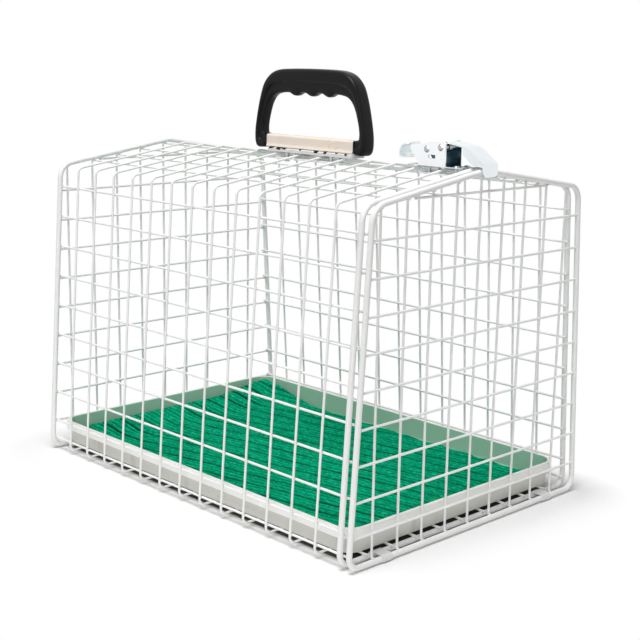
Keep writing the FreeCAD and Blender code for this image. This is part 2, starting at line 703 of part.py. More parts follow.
def joined(name, pieces):
    together = doc.addObject("Part::MultiFuse", name)
    together.Shapes = pieces
    together.Refine = True
    return together


MINUS_X = FreeCAD.Rotation(V(0, 1, 0), -90)
DOWN = FreeCAD.Rotation(V(1, 0, 0), 180)
# Two rivets across the housing: the lever's pivot and the spring's carrier.
for name, y, z in (("latch_pivot_rivet", 38.0, 12.4), ("latch_spring_rivet", 25.0, 14.2)):
    at = (FRONT + "+%s*sizes.unit" % y, "sizes.ridge_z+%s*sizes.unit" % z)
    shank = rod(name + "_shank", "sizes.rivet_d/2", "2*sizes.latch_half+0.04",
                ("-sizes.latch_half-0.02",) + at, ALONG_X)
    head_left = button(name + "_head_left", "sizes.rivet_d*0.88", "sizes.rivet_d*0.5", "0.95*sizes.unit",
                       ("-sizes.latch_half-0.02",) + at, MINUS_X)
    head_right = button(name + "_head_right", "sizes.rivet_d*0.88", "sizes.rivet_d*0.5", "0.95*sizes.unit",
                        ("sizes.latch_half+0.02",) + at, ALONG_X)
    keep(name, joined(name, [shank, head_left, head_right]))

# Torsion spring round the front rivet, kept plain: the coil's sleeve, a leg down to the base
# and a leg that runs back under the lever, behind its pivot.
spring_y = FRONT + "+25*sizes.unit"
spring_z = "sizes.ridge_z+14.2*sizes.unit"
COIL_R = "(sizes.rivet_d/2+sizes.spring_wire+0.25)"
sleeve = rod("spring_sleeve", COIL_R, "4*sizes.unit", ("-2*sizes.unit", spring_y, spring_z),
             ALONG_X)
hollow = rod("spring_hollow", "sizes.rivet_d/2+0.15", "6*sizes.unit",
             ("-3*sizes.unit", spring_y, spring_z), ALONG_X)
LEG_OUT = "(sizes.rivet_d/2+sizes.spring_wire/2+0.22)"
low_leg = rod("spring_low_leg", "sizes.spring_wire/2", "13*sizes.unit",
              ("-1.6*sizes.unit", spring_y + "-" + LEG_OUT, spring_z + "-13*sizes.unit"),
              UPRIGHT)
back_leg = rod("spring_back_leg", "sizes.spring_wire/2", "19*sizes.unit",
               ("1.6*sizes.unit", spring_y, spring_z + "-" + LEG_OUT),
               FreeCAD.Rotation(V(1, 0, 0), -98.5))
wound = joined("spring_solid", [sleeve, low_leg, back_leg])
spring = doc.addObject("Part::Cut", "latch_spring")
spring.Base = wound
spring.Tool = hollow
keep("latch_spring", spring)

# Clamp plate under the roof wires and the four rivets that hold the housing to it.
CLAMP_TOP = "(sizes.ridge_z+%s*sizes.mesh_shift-%s*1.0122-sizes.wire_d/2-0.05)" % (SLOPE, LONG_IN)
plate = doc.addObject("Part::Box", "latch_clamp_blank")
bind(plate, "Length", "18*sizes.unit")
bind(plate, "Width", "38*sizes.unit")
bind(plate, "Height", "sizes.sheet_t")
bind(plate, "Placement.Base.x", "-9*sizes.unit")
bind(plate, "Placement.Base.y", FRONT + "+7.5*sizes.unit")
bind(plate, "Placement.Base.z", CLAMP_TOP + "-sizes.sheet_t")
drills = []
rivets = []
for number_, (x, y) in enumerate(((-6, 12.7), (6, 12.7), (-6, 38.1), (6, 38.1)), start=1):
    x_text = "%s*sizes.unit" % x
    y_text = FRONT + "+%s*sizes.unit" % y
    low = CLAMP_TOP + "-sizes.sheet_t"
    high = "sizes.ridge_z-0.3*sizes.unit+sizes.sheet_t"
    drills.append(rod("latch_clamp_drill_%d" % number_, "sizes.rivet_d/2+0.02", "10",
                      (x_text, y_text, low + "-2"), UPRIGHT))
    shank = rod("latch_clamp_shank_%d" % number_, "sizes.rivet_d/2",
                "(%s)-(%s)+0.04" % (high, low), (x_text, y_text, low + "-0.02"), UPRIGHT)
    top = button("latch_clamp_head_%d" % number_, "sizes.rivet_d*0.85", "sizes.rivet_d*0.5",
                 "0.9", (x_text, y_text, high + "+0.02"), UPRIGHT)
    tail = button("latch_clamp_tail_%d" % number_, "sizes.rivet_d*0.85", "sizes.rivet_d*0.5",
                  "0.9", (x_text, y_text, low + "-0.02"), DOWN)
    rivets.append(joined("latch_clamp_rivet_%d" % number_, [shank, top, tail]))
drilled = doc.addObject("Part::MultiFuse", "latch_clamp_drills")
drilled.Shapes = drills
clamp = doc.addObject("Part::Cut", "latch_clamp_plate")
clamp.Base = plate
clamp.Tool = drilled
keep("latch_clamp_plate", clamp)
group("latch_clamp_rivets", rivets)

# Latch lever: one bent strip with a nose that hooks over the door bar and a thumb tab.
body = new_body("latch_lever")
path = new_sketch(body, "lever_path", "YZ_Plane")
LEVER = [(-12.8, -4.3), (-12.8, 4.6), (3.0, 15.3), (20.0, 17.9), (38.0, 16.6), (60.0, 5.1),
         (66.4, 5.4), (64.6, 13.2), (57.5, 15.9)]
BENDS = [2.5, 9.0, 12.0, 14.0, 3.5, 2.4, 4.0]
rounded_chain(path, [((y, "%s*sizes.unit" % y), (z, "%s*sizes.unit" % z)) for y, z in LEVER],
              [(r, "%s*sizes.unit" % r) for r in BENDS])
strip = new_sketch(body, "lever_section", "XY_Plane", "-4.3*sizes.unit")
lever_half = N["latch_half"] - SHEET - 0.4
LEVER_HALF = "(sizes.latch_half-sizes.sheet_t-0.4)"
rectangle(strip, ((-lever_half, "-" + LEVER_HALF), (-12.8 - SHEET / 2, "-12.8*sizes.unit-sizes.sheet_t/2")),
          ((lever_half, LEVER_HALF), (-12.8 + SHEET / 2, "-12.8*sizes.unit+sizes.sheet_t/2")))
doc.recompute()
bent = body.newObject("PartDesign::AdditivePipe", "lever_strip")
bent.Profile = strip
bent.Spine = (path, [])
doc.recompute()
for name, shift in (("left", "-"), ("right", "")):
    wing = new_sketch(body, "lever_wing_" + name, "YZ_Plane",
                      shift + "(" + LEVER_HALF + "-sizes.sheet_t/2)")
    outline(wing, [((-12.6, "-12.6*sizes.unit"), (3.0, "3*sizes.unit")), ((-3.0, "-3*sizes.unit"), (3.2, "3.2*sizes.unit")),
                   ((6.0, "6*sizes.unit"), (10.2, "10.2*sizes.unit")), ((6.0, "6*sizes.unit"), (15.4, "15.4*sizes.unit")),
                   ((3.0, "3*sizes.unit"), (15.1, "15.1*sizes.unit")), ((-12.6, "-12.6*sizes.unit"), (4.9, "4.9*sizes.unit"))])
    pad(body, "lever_wing_pad_" + name, wing, "sizes.sheet_t")
    ear = new_sketch(body, "lever_ear_" + name, "YZ_Plane",
                     shift + "(" + LEVER_HALF + "-sizes.sheet_t/2)")
    outline(ear, [((31.0, "31*sizes.unit"), (17.0, "17*sizes.unit")), ((34.0, "34*sizes.unit"), (9.4, "9.4*sizes.unit")),
                  ((42.0, "42*sizes.unit"), (9.4, "9.4*sizes.unit")), ((45.0, "45*sizes.unit"), (12.9, "12.9*sizes.unit")),
                  ((38.0, "38*sizes.unit"), (16.4, "16.4*sizes.unit"))])
    last = pad(body, "lever_ear_pad_" + name, ear, "sizes.sheet_t")
bore = new_sketch(body, "lever_bore_outline", "YZ_Plane")
circle(bore, ((38.0, "38*sizes.unit"), (12.4, "12.4*sizes.unit")), 1.56, "sizes.rivet_d/2+0.06")
bored = cut(body, "lever_bore", bore, "30", both=True)


def tab_corner(edge):
    box = edge.BoundBox
    thin = box.XLength < 1e-3
    tip = 56 < (box.YMin + box.YMax) / 2 < 58.4 and box.ZMin > 14.5
    tail = box.ZMax < -4.2 + 1e-3 and box.YMax < -12.0
    side_edge = abs(abs(box.XMin) - lever_half) < 1e-3
    return thin and side_edge and (tip or tail) and edge.Length < 1.5


soft = round_edges(body, "lever_tab_corners", bored, "3.2", tab_corner)
body.Tip = soft
place_on_ridge(body)
keep("latch_lever", body)

# Carrying handle: a bowed loop with a thick outer band and a thinner inner web.
HANDLE_MID = "(sizes.cage_mid-sizes.handle_back)"


def grip_spot(along, up):
    """A place on the handle in shares of its half length and its height."""
    return ((along * N["handle_half"], "%s*sizes.handle_half" % along),
            (up * N["handle_h"], "%s*sizes.handle_h" % up))


body = new_body("handle_grip")
side = new_sketch(body, "grip_side", "YZ_Plane")
GRIP = [(0.985, 0.0, 6.5), (1.01, 0.16, 12.0), (0.915, 0.66, 30.0), (0.80, 0.96, 22.0),
        (0.25, 1.012, 120.0)]
GRIP_IN = [(0.25, 0.735, 40.0), (0.66, 0.705, 12.0), (0.80, 0.52, 20.0), (0.885, 0.17, None),
           (0.772, 0.135, None), (0.765, 0.0, None)]
run = GRIP + [(-a, u, r) for a, u, r in reversed(GRIP)]
run += [(-a, u, r) for a, u, r in reversed(GRIP_IN)]
run += GRIP_IN
rounded_loop(side, [grip_spot(a, u) for a, u, r in run],
             [r and (r, "%s*sizes.unit" % r) for a, u, r in run])
doc.recompute()
solid = pad(body, "grip_body", side, "sizes.handle_t")
WEB = [(0.25, 0.86, 60.0), (0.76, 0.83, 14.0), (0.90, 0.55, 20.0), (0.93, 0.22, 3.0)]
run = [(-a, u, r) for a, u, r in reversed(WEB)] + WEB
grip_half = N["handle_t"] / 2


def outer_edge(edge):
    box = edge.BoundBox
    if box.XLength > 1e-3 or abs(abs(box.XMin) - grip_half) > 1e-3:
        return False
    middle = edge.valueAt((edge.FirstParameter + edge.LastParameter) / 2)
    along = abs(middle.y) / N["handle_half"]
    up = middle.z / N["handle_h"]
    flank = 0.93 if up < 0.6 else 0.87
    return up > 0.88 or (up < 0.75 and along > flank) or up < 0.02


def inner_edge(edge):
    box = edge.BoundBox
    if box.XLength > 1e-3 or abs(abs(box.XMin) - grip_half) > 1e-3:
        return False
    middle = edge.valueAt((edge.FirstParameter + edge.LastParameter) / 2)
    along = abs(middle.y) / N["handle_half"]
    up = middle.z / N["handle_h"]
    flank = 0.9 if up < 0.55 else 0.80
    return 0.2 < up < 0.76 and along < flank


soft = round_edges(body, "grip_outer_round", solid, "4.2", outer_edge)
soft = round_edges(body, "grip_inner_round", soft, "3", inner_edge)
for name, sign in (("left", "-"), ("right", "")):
    web = new_sketch(body, "grip_web_" + name, "YZ_Plane", sign + "(sizes.handle_t/2-1.5)")
    rounded_loop(web, [grip_spot(a, u) for a, u, r in run], [(r, "%s*sizes.unit" % r) for a, u, r in run])
    last = cut(body, "grip_recess_" + name, web, "5", back=(sign == ""))


for count, along in enumerate((-18.6, 0.0, 18.6), start=1):
    bump = body.newObject("PartDesign::AdditiveEllipsoid", "grip_bump_%d" % count)
    bump.AttachmentSupport = [(plane(body, "XY_Plane"), "")]
    bump.MapMode = "FlatFace"
    bind(bump, "Radius1", "5.6*sizes.handle_h/61.4")
    bind(bump, "Radius2", "sizes.handle_t/2-1.6")
    bind(bump, "Radius3", "5.6*sizes.handle_half/63.3")
    bind(bump, "AttachmentOffset.Base.y", "%s*sizes.handle_half/63.3" % along)
    bind(bump, "AttachmentOffset.Base.z", "0.8*sizes.handle_h")
    doc.recompute()
socket = new_sketch(body, "grip_pin_holes", "XZ_Plane")
circle(socket, ((0.0, "0*sizes.pitch"), (N["pivot_up"] - N["handle_z"],
                                         "sizes.pivot_up-sizes.handle_z")),
       N["pin_d"] / 2 + N["pin_gap"], "sizes.pin_d/2+sizes.pin_gap")
bored = cut(body, "grip_pin_bore", socket, "2*(0.772*sizes.handle_half+9)", both=True)
body.Tip = bored
bind(body, "Placement.Base.y", HANDLE_MID)
bind(body, "Placement.Base.z", "sizes.ridge_z+sizes.handle_z")
keep("handle_grip", body)

# Handle rail: a flanged bar on the ridge that carries the two pins.
RAIL_HALF = "(0.765*sizes.handle_half-0.35)"
body = new_body("handle_rail")
face = new_sketch(body, "rail_section", "XZ_Plane")
outline(face, [((-7.0, "-7*sizes.unit"), (-0.3, "-0.3*sizes.unit")), ((7.0, "7*sizes.unit"), (-0.3, "-0.3*sizes.unit")),
               ((7.0, "7*sizes.unit"), (2.2, "2.2*sizes.unit")), ((4.6, "4.6*sizes.unit"), (3.4, "3.4*sizes.unit")),
               ((4.6, "4.6*sizes.unit"), (12.4, "12.4*sizes.unit")), ((-4.6, "-4.6*sizes.unit"), (12.4, "12.4*sizes.unit")),
               ((-4.6, "-4.6*sizes.unit"), (3.4, "3.4*sizes.unit")), ((-7.0, "-7*sizes.unit"), (2.2, "2.2*sizes.unit"))])
bar = pad(body, "rail_bar", face, "2*" + RAIL_HALF)


def long_top(edge):
    box = edge.BoundBox
    return box.YLength > 50 and abs(box.ZMin - 12.4) < 1e-3


soft = round_edges(body, "rail_top_round", bar, "1", long_top)
ends = new_sketch(body, "rail_pin_holes", "XZ_Plane")
circle(ends, ((0.0, "0*sizes.pitch"), (N["pivot_up"], "sizes.pivot_up")),
       N["pin_d"] / 2 + 0.01, "sizes.pin_d/2+0.01")
drilled = cut(body, "rail_pin_bore", ends, "300", both=True)
under = new_sketch(body, "rail_screw_holes", "XY_Plane", "-3*sizes.unit")
SCREWS = [(x, k) for k in (5.5, 7.5) for x in (-5.4, 5.4)]
for x, k in SCREWS:
    offset = N["handle_back"] + (k - 7) * N["pitch"]
    circle(under, ((x, "%s*sizes.unit" % x), (offset, "sizes.handle_back+%s*sizes.pitch" % (k - 7))),
           N["screw_d"] / 2 + 0.02, "sizes.screw_d/2+0.02")
bored = cut(body, "rail_screw_bore", under, "4.6", back=True)
body.Tip = bored
bind(body, "Placement.Base.y", HANDLE_MID)
bind(body, "Placement.Base.z", "sizes.ridge_z")
keep("handle_rail", body)

# Through pin from foot to foot.
pin = rod("handle_pin", "sizes.pin_d/2", "2*(0.772*sizes.handle_half+8.4)",
          ("0*sizes.pitch", HANDLE_MID + "-(0.772*sizes.handle_half+8.4)",
           "sizes.ridge_z+sizes.pivot_up"), ALONG_Y)
keep("handle_pin", pin)

# Wrap: a thin pale sheath over the rail's upper part.
body = new_body("rail_wrap")
face = new_sketch(body, "wrap_section", "XZ_Plane")
outline(face, [((-5.5, "-5.5*sizes.unit"), (4.6, "4.6*sizes.unit")), ((-4.65, "-4.65*sizes.unit"), (4.6, "4.6*sizes.unit")),
               ((-4.65, "-4.65*sizes.unit"), (12.45, "12.45*sizes.unit")), ((4.65, "4.65*sizes.unit"), (12.45, "12.45*sizes.unit")),
               ((4.65, "4.65*sizes.unit"), (4.6, "4.6*sizes.unit")), ((5.5, "5.5*sizes.unit"), (4.6, "4.6*sizes.unit")),
               ((5.5, "5.5*sizes.unit"), (13.3, "13.3*sizes.unit")), ((-5.5, "-5.5*sizes.unit"), (13.3, "13.3*sizes.unit"))])
sleeve = pad(body, "wrap_sleeve", face, "2*%s-2" % RAIL_HALF)


def long_outer(edge):
    box = edge.BoundBox
    return box.YLength > 50 and abs(box.ZMin - 13.3) < 1e-3


soft = round_edges(body, "wrap_round", sleeve, "1.1", long_outer)
body.Tip = soft
bind(body, "Placement.Base.y", HANDLE_MID)
bind(body, "Placement.Base.z", "sizes.ridge_z")
keep("rail_wrap", body)

# Clamp plate under the roof wires and the four screws up into the rail.
plate = doc.addObject("Part::Box", "rail_clamp_blank")
bind(plate, "Length", "15*sizes.unit")
bind(plate, "Width", "sizes.pitch*2+21.2*sizes.unit")
bind(plate, "Height", "1.5*sizes.unit")
bind(plate, "Placement.Base.x", "-7.5*sizes.unit")
bind(plate, "Placement.Base.y", HANDLE_MID + "-35*sizes.unit")
bind(plate, "Placement.Base.z", CLAMP_TOP + "-1.5*sizes.unit")
drills = []
screws = []
for count, (x, k) in enumerate(SCREWS, start=1):
    x_text = "%s*sizes.unit" % x
    y_text = FRONT + "+%s*sizes.pitch" % k
    low = CLAMP_TOP + "-1.5*sizes.unit"
    drills.append(rod("rail_clamp_drill_%d" % count, "sizes.screw_d/2+0.02", "10",
                      (x_text, y_text, low + "-2"), UPRIGHT))
    shank = rod("rail_screw_shank_%d" % count, "sizes.screw_d/2",
                "(sizes.ridge_z+1.5*sizes.unit)-(%s)+0.04" % low, (x_text, y_text, low + "-0.04"), UPRIGHT)
    head = button("rail_screw_head_%d" % count, "sizes.screw_d*0.95", "sizes.screw_d*0.75",
                  "1.6", (x_text, y_text, low + "-0.04"), DOWN)
    screws.append(joined("rail_screw_%d" % count, [shank, head]))
drilled = doc.addObject("Part::MultiFuse", "rail_clamp_drills")
drilled.Shapes = drills
clamp = doc.addObject("Part::Cut", "rail_clamp_plate")
clamp.Base = plate
clamp.Tool = drilled
keep("rail_clamp_plate", clamp)
group("rail_clamp_screws", screws)

doc.recompute()
for thing in doc.Objects:
    if "Invalid" in thing.State or "Error" in thing.State:
        print("BROKEN", thing.Name, thing.State)
for name, thing in nodes:
    shape = thing.Shape
    print("%-22s solids %3d valid %s volume %10.1f box %s" % (
        name, len(shape.Solids), shape.isValid(), shape.Volume,
        [round(v, 1) for v in (shape.BoundBox.XMin, shape.BoundBox.XMax, shape.BoundBox.YMin,
                               shape.BoundBox.YMax, shape.BoundBox.ZMin, shape.BoundBox.ZMax)]))
    shape.exportStep("parts/%s.step" % name)
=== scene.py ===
import math

import bmesh
import bpy
from mathutils import Matrix, Vector, noise


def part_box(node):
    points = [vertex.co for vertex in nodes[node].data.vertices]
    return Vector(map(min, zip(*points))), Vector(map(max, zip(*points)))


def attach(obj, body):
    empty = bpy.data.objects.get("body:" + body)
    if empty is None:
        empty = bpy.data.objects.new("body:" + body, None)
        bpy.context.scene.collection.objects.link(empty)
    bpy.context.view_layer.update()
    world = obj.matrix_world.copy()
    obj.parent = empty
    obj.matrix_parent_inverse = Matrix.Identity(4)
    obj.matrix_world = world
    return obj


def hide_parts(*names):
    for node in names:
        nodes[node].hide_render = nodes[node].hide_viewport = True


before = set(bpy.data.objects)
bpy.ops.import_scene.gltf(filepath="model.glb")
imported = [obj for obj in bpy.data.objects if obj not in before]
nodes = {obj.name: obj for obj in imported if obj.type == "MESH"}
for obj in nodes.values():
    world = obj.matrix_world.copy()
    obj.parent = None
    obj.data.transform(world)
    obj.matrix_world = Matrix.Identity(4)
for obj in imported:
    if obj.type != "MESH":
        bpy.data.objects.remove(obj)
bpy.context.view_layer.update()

MM = 0.001

# Places of the bars and wires, in millimetres, as in the frame.
HALF_BOTTOM = 127.9
HALF_EAVE = 112.8
BAR_Z = 2.86
EAVE_Z = 246.6
RIDGE_Z = 264.3
PITCH = 25.4
ROW_PITCH = 25.1
CAGE_MID = 3.8
FRONT_Y = CAGE_MID - 7 * PITCH
BACK_Y = CAGE_MID + 7 * PITCH
DOOR_Y = FRONT_Y - 9.0
MESH_SHIFT = -2.0
BAR_R = 2.1
WIRE_R = 0.9
WIRE_STEP = 2 * WIRE_R + 0.04
LONG_IN = BAR_R + WIRE_R + 0.04
HOOP_IN = BAR_R - WIRE_R
TAPER = (HALF_BOTTOM - HALF_EAVE) / (EAVE_Z - BAR_Z)
SLOPE = (RIDGE_Z - EAVE_Z) / HALF_EAVE
SIDE_HEIGHTS = [10.2] + [25.6 + k * PITCH * 0.998 for k in range(9)]
COLUMNS = [MESH_SHIFT + (i - 4) * PITCH for i in range(9)]
ROWS = [23.9 + k * ROW_PITCH for k in range(10)]
HOOPS = [FRONT_Y + PITCH * (k + 1) for k in range(13)]

# Camera: the photograph's place, tilt and lens, worked out from the mesh in it.
CAMERA_PLACE = Vector((-0.6898, -0.7322, 0.3416))
CAMERA_AZIMUTH = math.radians(-44.06)
CAMERA_ELEVATION = math.radians(11.99)
CAMERA_ROLL = math.radians(0.997)
CAMERA_LENS = 70.36


def add_camera():
    back = Vector((math.sin(CAMERA_AZIMUTH) * math.cos(CAMERA_ELEVATION),
                   -math.cos(CAMERA_AZIMUTH) * math.cos(CAMERA_ELEVATION),
                   math.sin(CAMERA_ELEVATION)))
    level_right = (-back).cross(Vector((0, 0, 1))).normalized()
    level_up = level_right.cross(-back)
    right = level_right * math.cos(CAMERA_ROLL) + level_up * math.sin(CAMERA_ROLL)
    up = level_up * math.cos(CAMERA_ROLL) - level_right * math.sin(CAMERA_ROLL)
    data = bpy.data.cameras.new("photo_camera")
    data.sensor_width = 36.0
    data.lens = CAMERA_LENS
    data.clip_start = 0.01
    camera = bpy.data.objects.new("photo_camera", data)
    bpy.context.scene.collection.objects.link(camera)
    turn = Matrix((right, up, back)).transposed().to_4x4()
    camera.matrix_world = Matrix.Translation(CAMERA_PLACE) @ turn
    bpy.context.scene.camera = camera


add_camera()


# Shared effects, each a node group.
def new_group(name, inputs, outputs):
    group = bpy.data.node_groups.new(name, "ShaderNodeTree")
    for label, kind, value in inputs:
        socket = group.interface.new_socket(label, in_out="INPUT", socket_type=kind)
        if value is not None:
            socket.default_value = value
    for label, kind in outputs:
        group.interface.new_socket(label, in_out="OUTPUT", socket_type=kind)
    start = group.nodes.new("NodeGroupInput")
    end = group.nodes.new("NodeGroupOutput")
    return group, start, end


def drift_group():
    """Soft colour drift and a fine surface grain."""
    group, start, end = new_group(
        "surface_drift",
        [("Vector", "NodeSocketVector", None), ("Blotch Scale", "NodeSocketFloat", 40.0),
         ("Grain Scale", "NodeSocketFloat", 900.0)],
        [("Blotch", "NodeSocketFloat"), ("Grain", "NodeSocketFloat")])
    blotch = group.nodes.new("ShaderNodeTexNoise")
    blotch.inputs["Detail"].default_value = 3.0
    grain = group.nodes.new("ShaderNodeTexNoise")
    grain.inputs["Detail"].default_value = 2.0
    link = group.links.new
    link(start.outputs["Vector"], blotch.inputs["Vector"])
    link(start.outputs["Vector"], grain.inputs["Vector"])
    link(start.outputs["Blotch Scale"], blotch.inputs["Scale"])
    link(start.outputs["Grain Scale"], grain.inputs["Scale"])
    link(blotch.outputs["Fac"], end.inputs["Blotch"])
    link(grain.outputs["Fac"], end.inputs["Grain"])
    return group


DRIFT = drift_group()


def chain(tree, kind, operation, first, second=None, clamp=False):
    """One Math or Vector Math node; numbers go on its sockets, sockets are linked."""
    node = tree.nodes.new(kind)
    node.operation = operation
    if clamp:
        node.use_clamp = True
    for socket, entry in zip(node.inputs, (first, second)):
        if entry is None:
            continue
        if isinstance(entry, bpy.types.NodeSocket):
            tree.links.new(entry, socket)
        else:
            socket.default_value = entry
    return node


def math_node(tree, operation, first, second=None, clamp=False):
    return chain(tree, "ShaderNodeMath", operation, first, second, clamp).outputs[0]


def between(tree, value, low, high, to_low=0.0, to_high=1.0):
    """Value carried from low..high to to_low..to_high, and held at the ends."""
    node = tree.nodes.new("ShaderNodeMapRange")
    for label, entry in (("From Min", low), ("From Max", high), ("To Min", to_low),
                         ("To Max", to_high)):
        node.inputs[label].default_value = entry
    tree.links.new(value, node.inputs["Value"])
    return node.outputs["Result"]


def blend_colours(tree, factor, first, second, mode="MIX"):
    """A colour mix; first and second are colours or sockets."""
    node = tree.nodes.new("ShaderNodeMix")
    node.data_type = "RGBA"
    node.blend_type = mode
    tree.links.new(factor, node.inputs["Factor"])
    for label, entry in (("A", first), ("B", second)):
        if isinstance(entry, bpy.types.NodeSocket):
            tree.links.new(entry, node.inputs[label])
        else:
            node.inputs[label].default_value = (*entry, 1.0)
    return node.outputs["Result"]


def material(name, dark, light, roughness, spread=0.08, blotch=40.0, grain=900.0, bump=0.1,
             bump_depth=0.0001, metallic=0.0, coat=0.0, coat_roughness=0.1, specular=0.5,
             sheen=0.0, recolour=None, relief_height=None):
    """A finish whose colour drifts between two shades, with a grained surface.

    recolour and relief_height, where given, add this finish's own pattern to both.
    """
    mat = bpy.data.materials.new(name)
    mat.use_nodes = True
    tree = mat.node_tree
    link = tree.links.new
    shader = tree.nodes["Principled BSDF"]
    shader.inputs["Metallic"].default_value = metallic
    shader.inputs["Coat Weight"].default_value = coat
    shader.inputs["Coat Roughness"].default_value = coat_roughness
    shader.inputs["Specular IOR Level"].default_value = specular
    shader.inputs["Sheen Weight"].default_value = sheen
    place = tree.nodes.new("ShaderNodeTexCoord")
    drift = tree.nodes.new("ShaderNodeGroup")
    drift.node_tree = DRIFT
    drift.inputs["Blotch Scale"].default_value = blotch
    drift.inputs["Grain Scale"].default_value = grain
    link(place.outputs["Object"], drift.inputs["Vector"])
    colour = blend_colours(tree, drift.outputs["Blotch"], dark, light)
    if recolour:
        colour = recolour(tree, place, colour)
    link(colour, shader.inputs["Base Color"])
    rough = between(tree, drift.outputs["Blotch"], 0.0, 1.0, roughness - spread,
                    roughness + spread)
    link(rough, shader.inputs["Roughness"])
    height = drift.outputs["Grain"]
    if relief_height:
        height = relief_height(tree, place, height)
    relief = tree.nodes.new("ShaderNodeBump")
    relief.inputs["Strength"].default_value = bump
    relief.inputs["Distance"].default_value = bump_depth
    link(height, relief.inputs["Height"])
    link(relief.outputs["Normal"], shader.inputs["Normal"])
    return mat


def split(tree, vector):
    node = tree.nodes.new("ShaderNodeSeparateXYZ")
    tree.links.new(vector, node.inputs[0])
    return node.outputs


# Tray colours: bright rim band; under it a duller wall, painted as shade under the rim, with faint
# vertical stripes painted as reflections of the wires; and painted green light that the mat throws
# on the inner walls.
TRAY_BAND_FOOT = 18.78 * MM


def tray_colours(tree, place, colour):
    spot = split(tree, place.outputs["Object"])
    # Faint vertical stripes on the wall: painted reflections of the wires.
    stretched = tree.nodes.new("ShaderNodeMapping")
    stretched.inputs["Scale"].default_value = (1.0, 1.0, 0.04)
    tree.links.new(place.outputs["Object"], stretched.inputs["Vector"])
    wire_reflection_stripes = tree.nodes.new("ShaderNodeTexNoise")
    wire_reflection_stripes.inputs["Scale"].default_value = 55.0
    wire_reflection_stripes.inputs["Detail"].default_value = 2.0
    tree.links.new(stretched.outputs[0], wire_reflection_stripes.inputs["Vector"])
    line = between(tree, wire_reflection_stripes.outputs["Fac"], 0.58, 0.68)
    # The wall under the rim band is painted duller, as shade under the rim.
    wall = blend_colours(tree, line, (0.73, 0.725, 0.675), (0.60, 0.595, 0.54))
    under_rim_shade = between(tree, spot["Z"], TRAY_BAND_FOOT + 0.0001, TRAY_BAND_FOOT - 0.0003)
    colour = blend_colours(tree, under_rim_shade, colour, wall)
    flat_place = chain(tree, "ShaderNodeVectorMath", "MULTIPLY", place.outputs["Object"],
                       (1.0, 1.0, 0.0)).outputs[0]
    inward = chain(tree, "ShaderNodeVectorMath", "DOT_PRODUCT", place.outputs["Normal"],
                   flat_place).outputs["Value"]
    # Painted green light from the mat on the tray's inner walls.
    inner = between(tree, inward, -0.004, -0.03)
    return blend_colours(tree, inner, colour, (0.36, 0.60, 0.46))


def mat_colours(tree, place, colour):
    """Painted shade: darkens the cloth in the furrows between its ribs and along its edge."""
    furrow = tree.nodes.new("ShaderNodeAttribute")
    furrow.attribute_name = "furrow"
    deep = between(tree, furrow.outputs["Fac"], 0.10, 0.80)
    tuft = pile_noise(tree, place)
    fleck = between(tree, tuft, 0.36, 0.56)
    colour = blend_colours(tree, fleck, (0.0005, 0.28, 0.135), colour)
    tip = between(tree, tuft, 0.58, 0.72)
    colour = blend_colours(tree, tip, colour, (0.02, 0.66, 0.38))
    # Painted shade in the furrows and along the mat's edge.
    return blend_colours(tree, deep, colour, (0.0003, 0.040, 0.024))


def pile_noise(tree, place):
    """Short slanting tufts, a millimetre or two long."""
    turned = tree.nodes.new("ShaderNodeMapping")
    turned.inputs["Rotation"].default_value = (0.0, 0.0, math.radians(38.0))
    turned.inputs["Scale"].default_value = (1.0, 0.32, 1.0)
    tree.links.new(place.outputs["Object"], turned.inputs["Vector"])
    tuft = tree.nodes.new("ShaderNodeTexNoise")
    tuft.inputs["Scale"].default_value = 820.0
    tuft.inputs["Detail"].default_value = 2.5
    tree.links.new(turned.outputs[0], tuft.inputs["Vector"])
    return tuft.outputs["Fac"]


def mat_relief(tree, place, grain):
    return math_node(tree, "ADD", math_node(tree, "MULTIPLY", pile_noise(tree, place), 2.0),
                     grain)


def wrap_colours(tree, place, colour):
    """Faint painted shade in the wrap's creases."""
    furrow = tree.nodes.new("ShaderNodeAttribute")
    furrow.attribute_name = "furrow"
    return blend_colours(tree, furrow.outputs["Fac"], colour, (0.66, 0.50, 0.38))


RAIL_FOOT = (RIDGE_Z + 3.3) * MM


def rail_colours(tree, place, colour):
    """The rail's foot is coated pale like the wires under it."""
    height = split(tree, place.outputs["Object"])["Z"]
    gaps = tree.nodes.new("ShaderNodeTexNoise")
    gaps.inputs["Scale"].default_value = 130.0
    tree.links.new(place.outputs["Object"], gaps.inputs["Vector"])
    dark = between(tree, gaps.outputs["Fac"], 0.50, 0.58, 0.0, 0.0022)
    height = math_node(tree, "ADD", height, dark)
    foot = between(tree, height, RAIL_FOOT + 0.0002, RAIL_FOOT)
    return blend_colours(tree, foot, colour, (0.80, 0.80, 0.79))


LATCH_INNER = 7.9 * MM


def latch_colours(tree, place, colour):
    """The channel's inside, which no light reaches, is painted dull blue grey as shade."""
    spot = split(tree, place.outputs["Object"])
    way = split(tree, place.outputs["Normal"])
    inward = math_node(tree, "MULTIPLY", spot["X"], way["X"])
    cheek = between(tree, inward, -0.5 * LATCH_INNER, -0.9 * LATCH_INNER)
    above = between(tree, spot["Z"], (RIDGE_Z + 0.6) * MM, (RIDGE_Z + 0.8) * MM)
    near = between(tree, math_node(tree, "ABSOLUTE", spot["X"]), LATCH_INNER, LATCH_INNER - 0.0002)
    bed = math_node(tree, "MULTIPLY", near, above)
    inner = math_node(tree, "MAXIMUM", cheek, bed)
    # Painted shade on the channel's inner cheeks and base.
    return blend_colours(tree, inner, colour, (0.09, 0.15, 0.19))


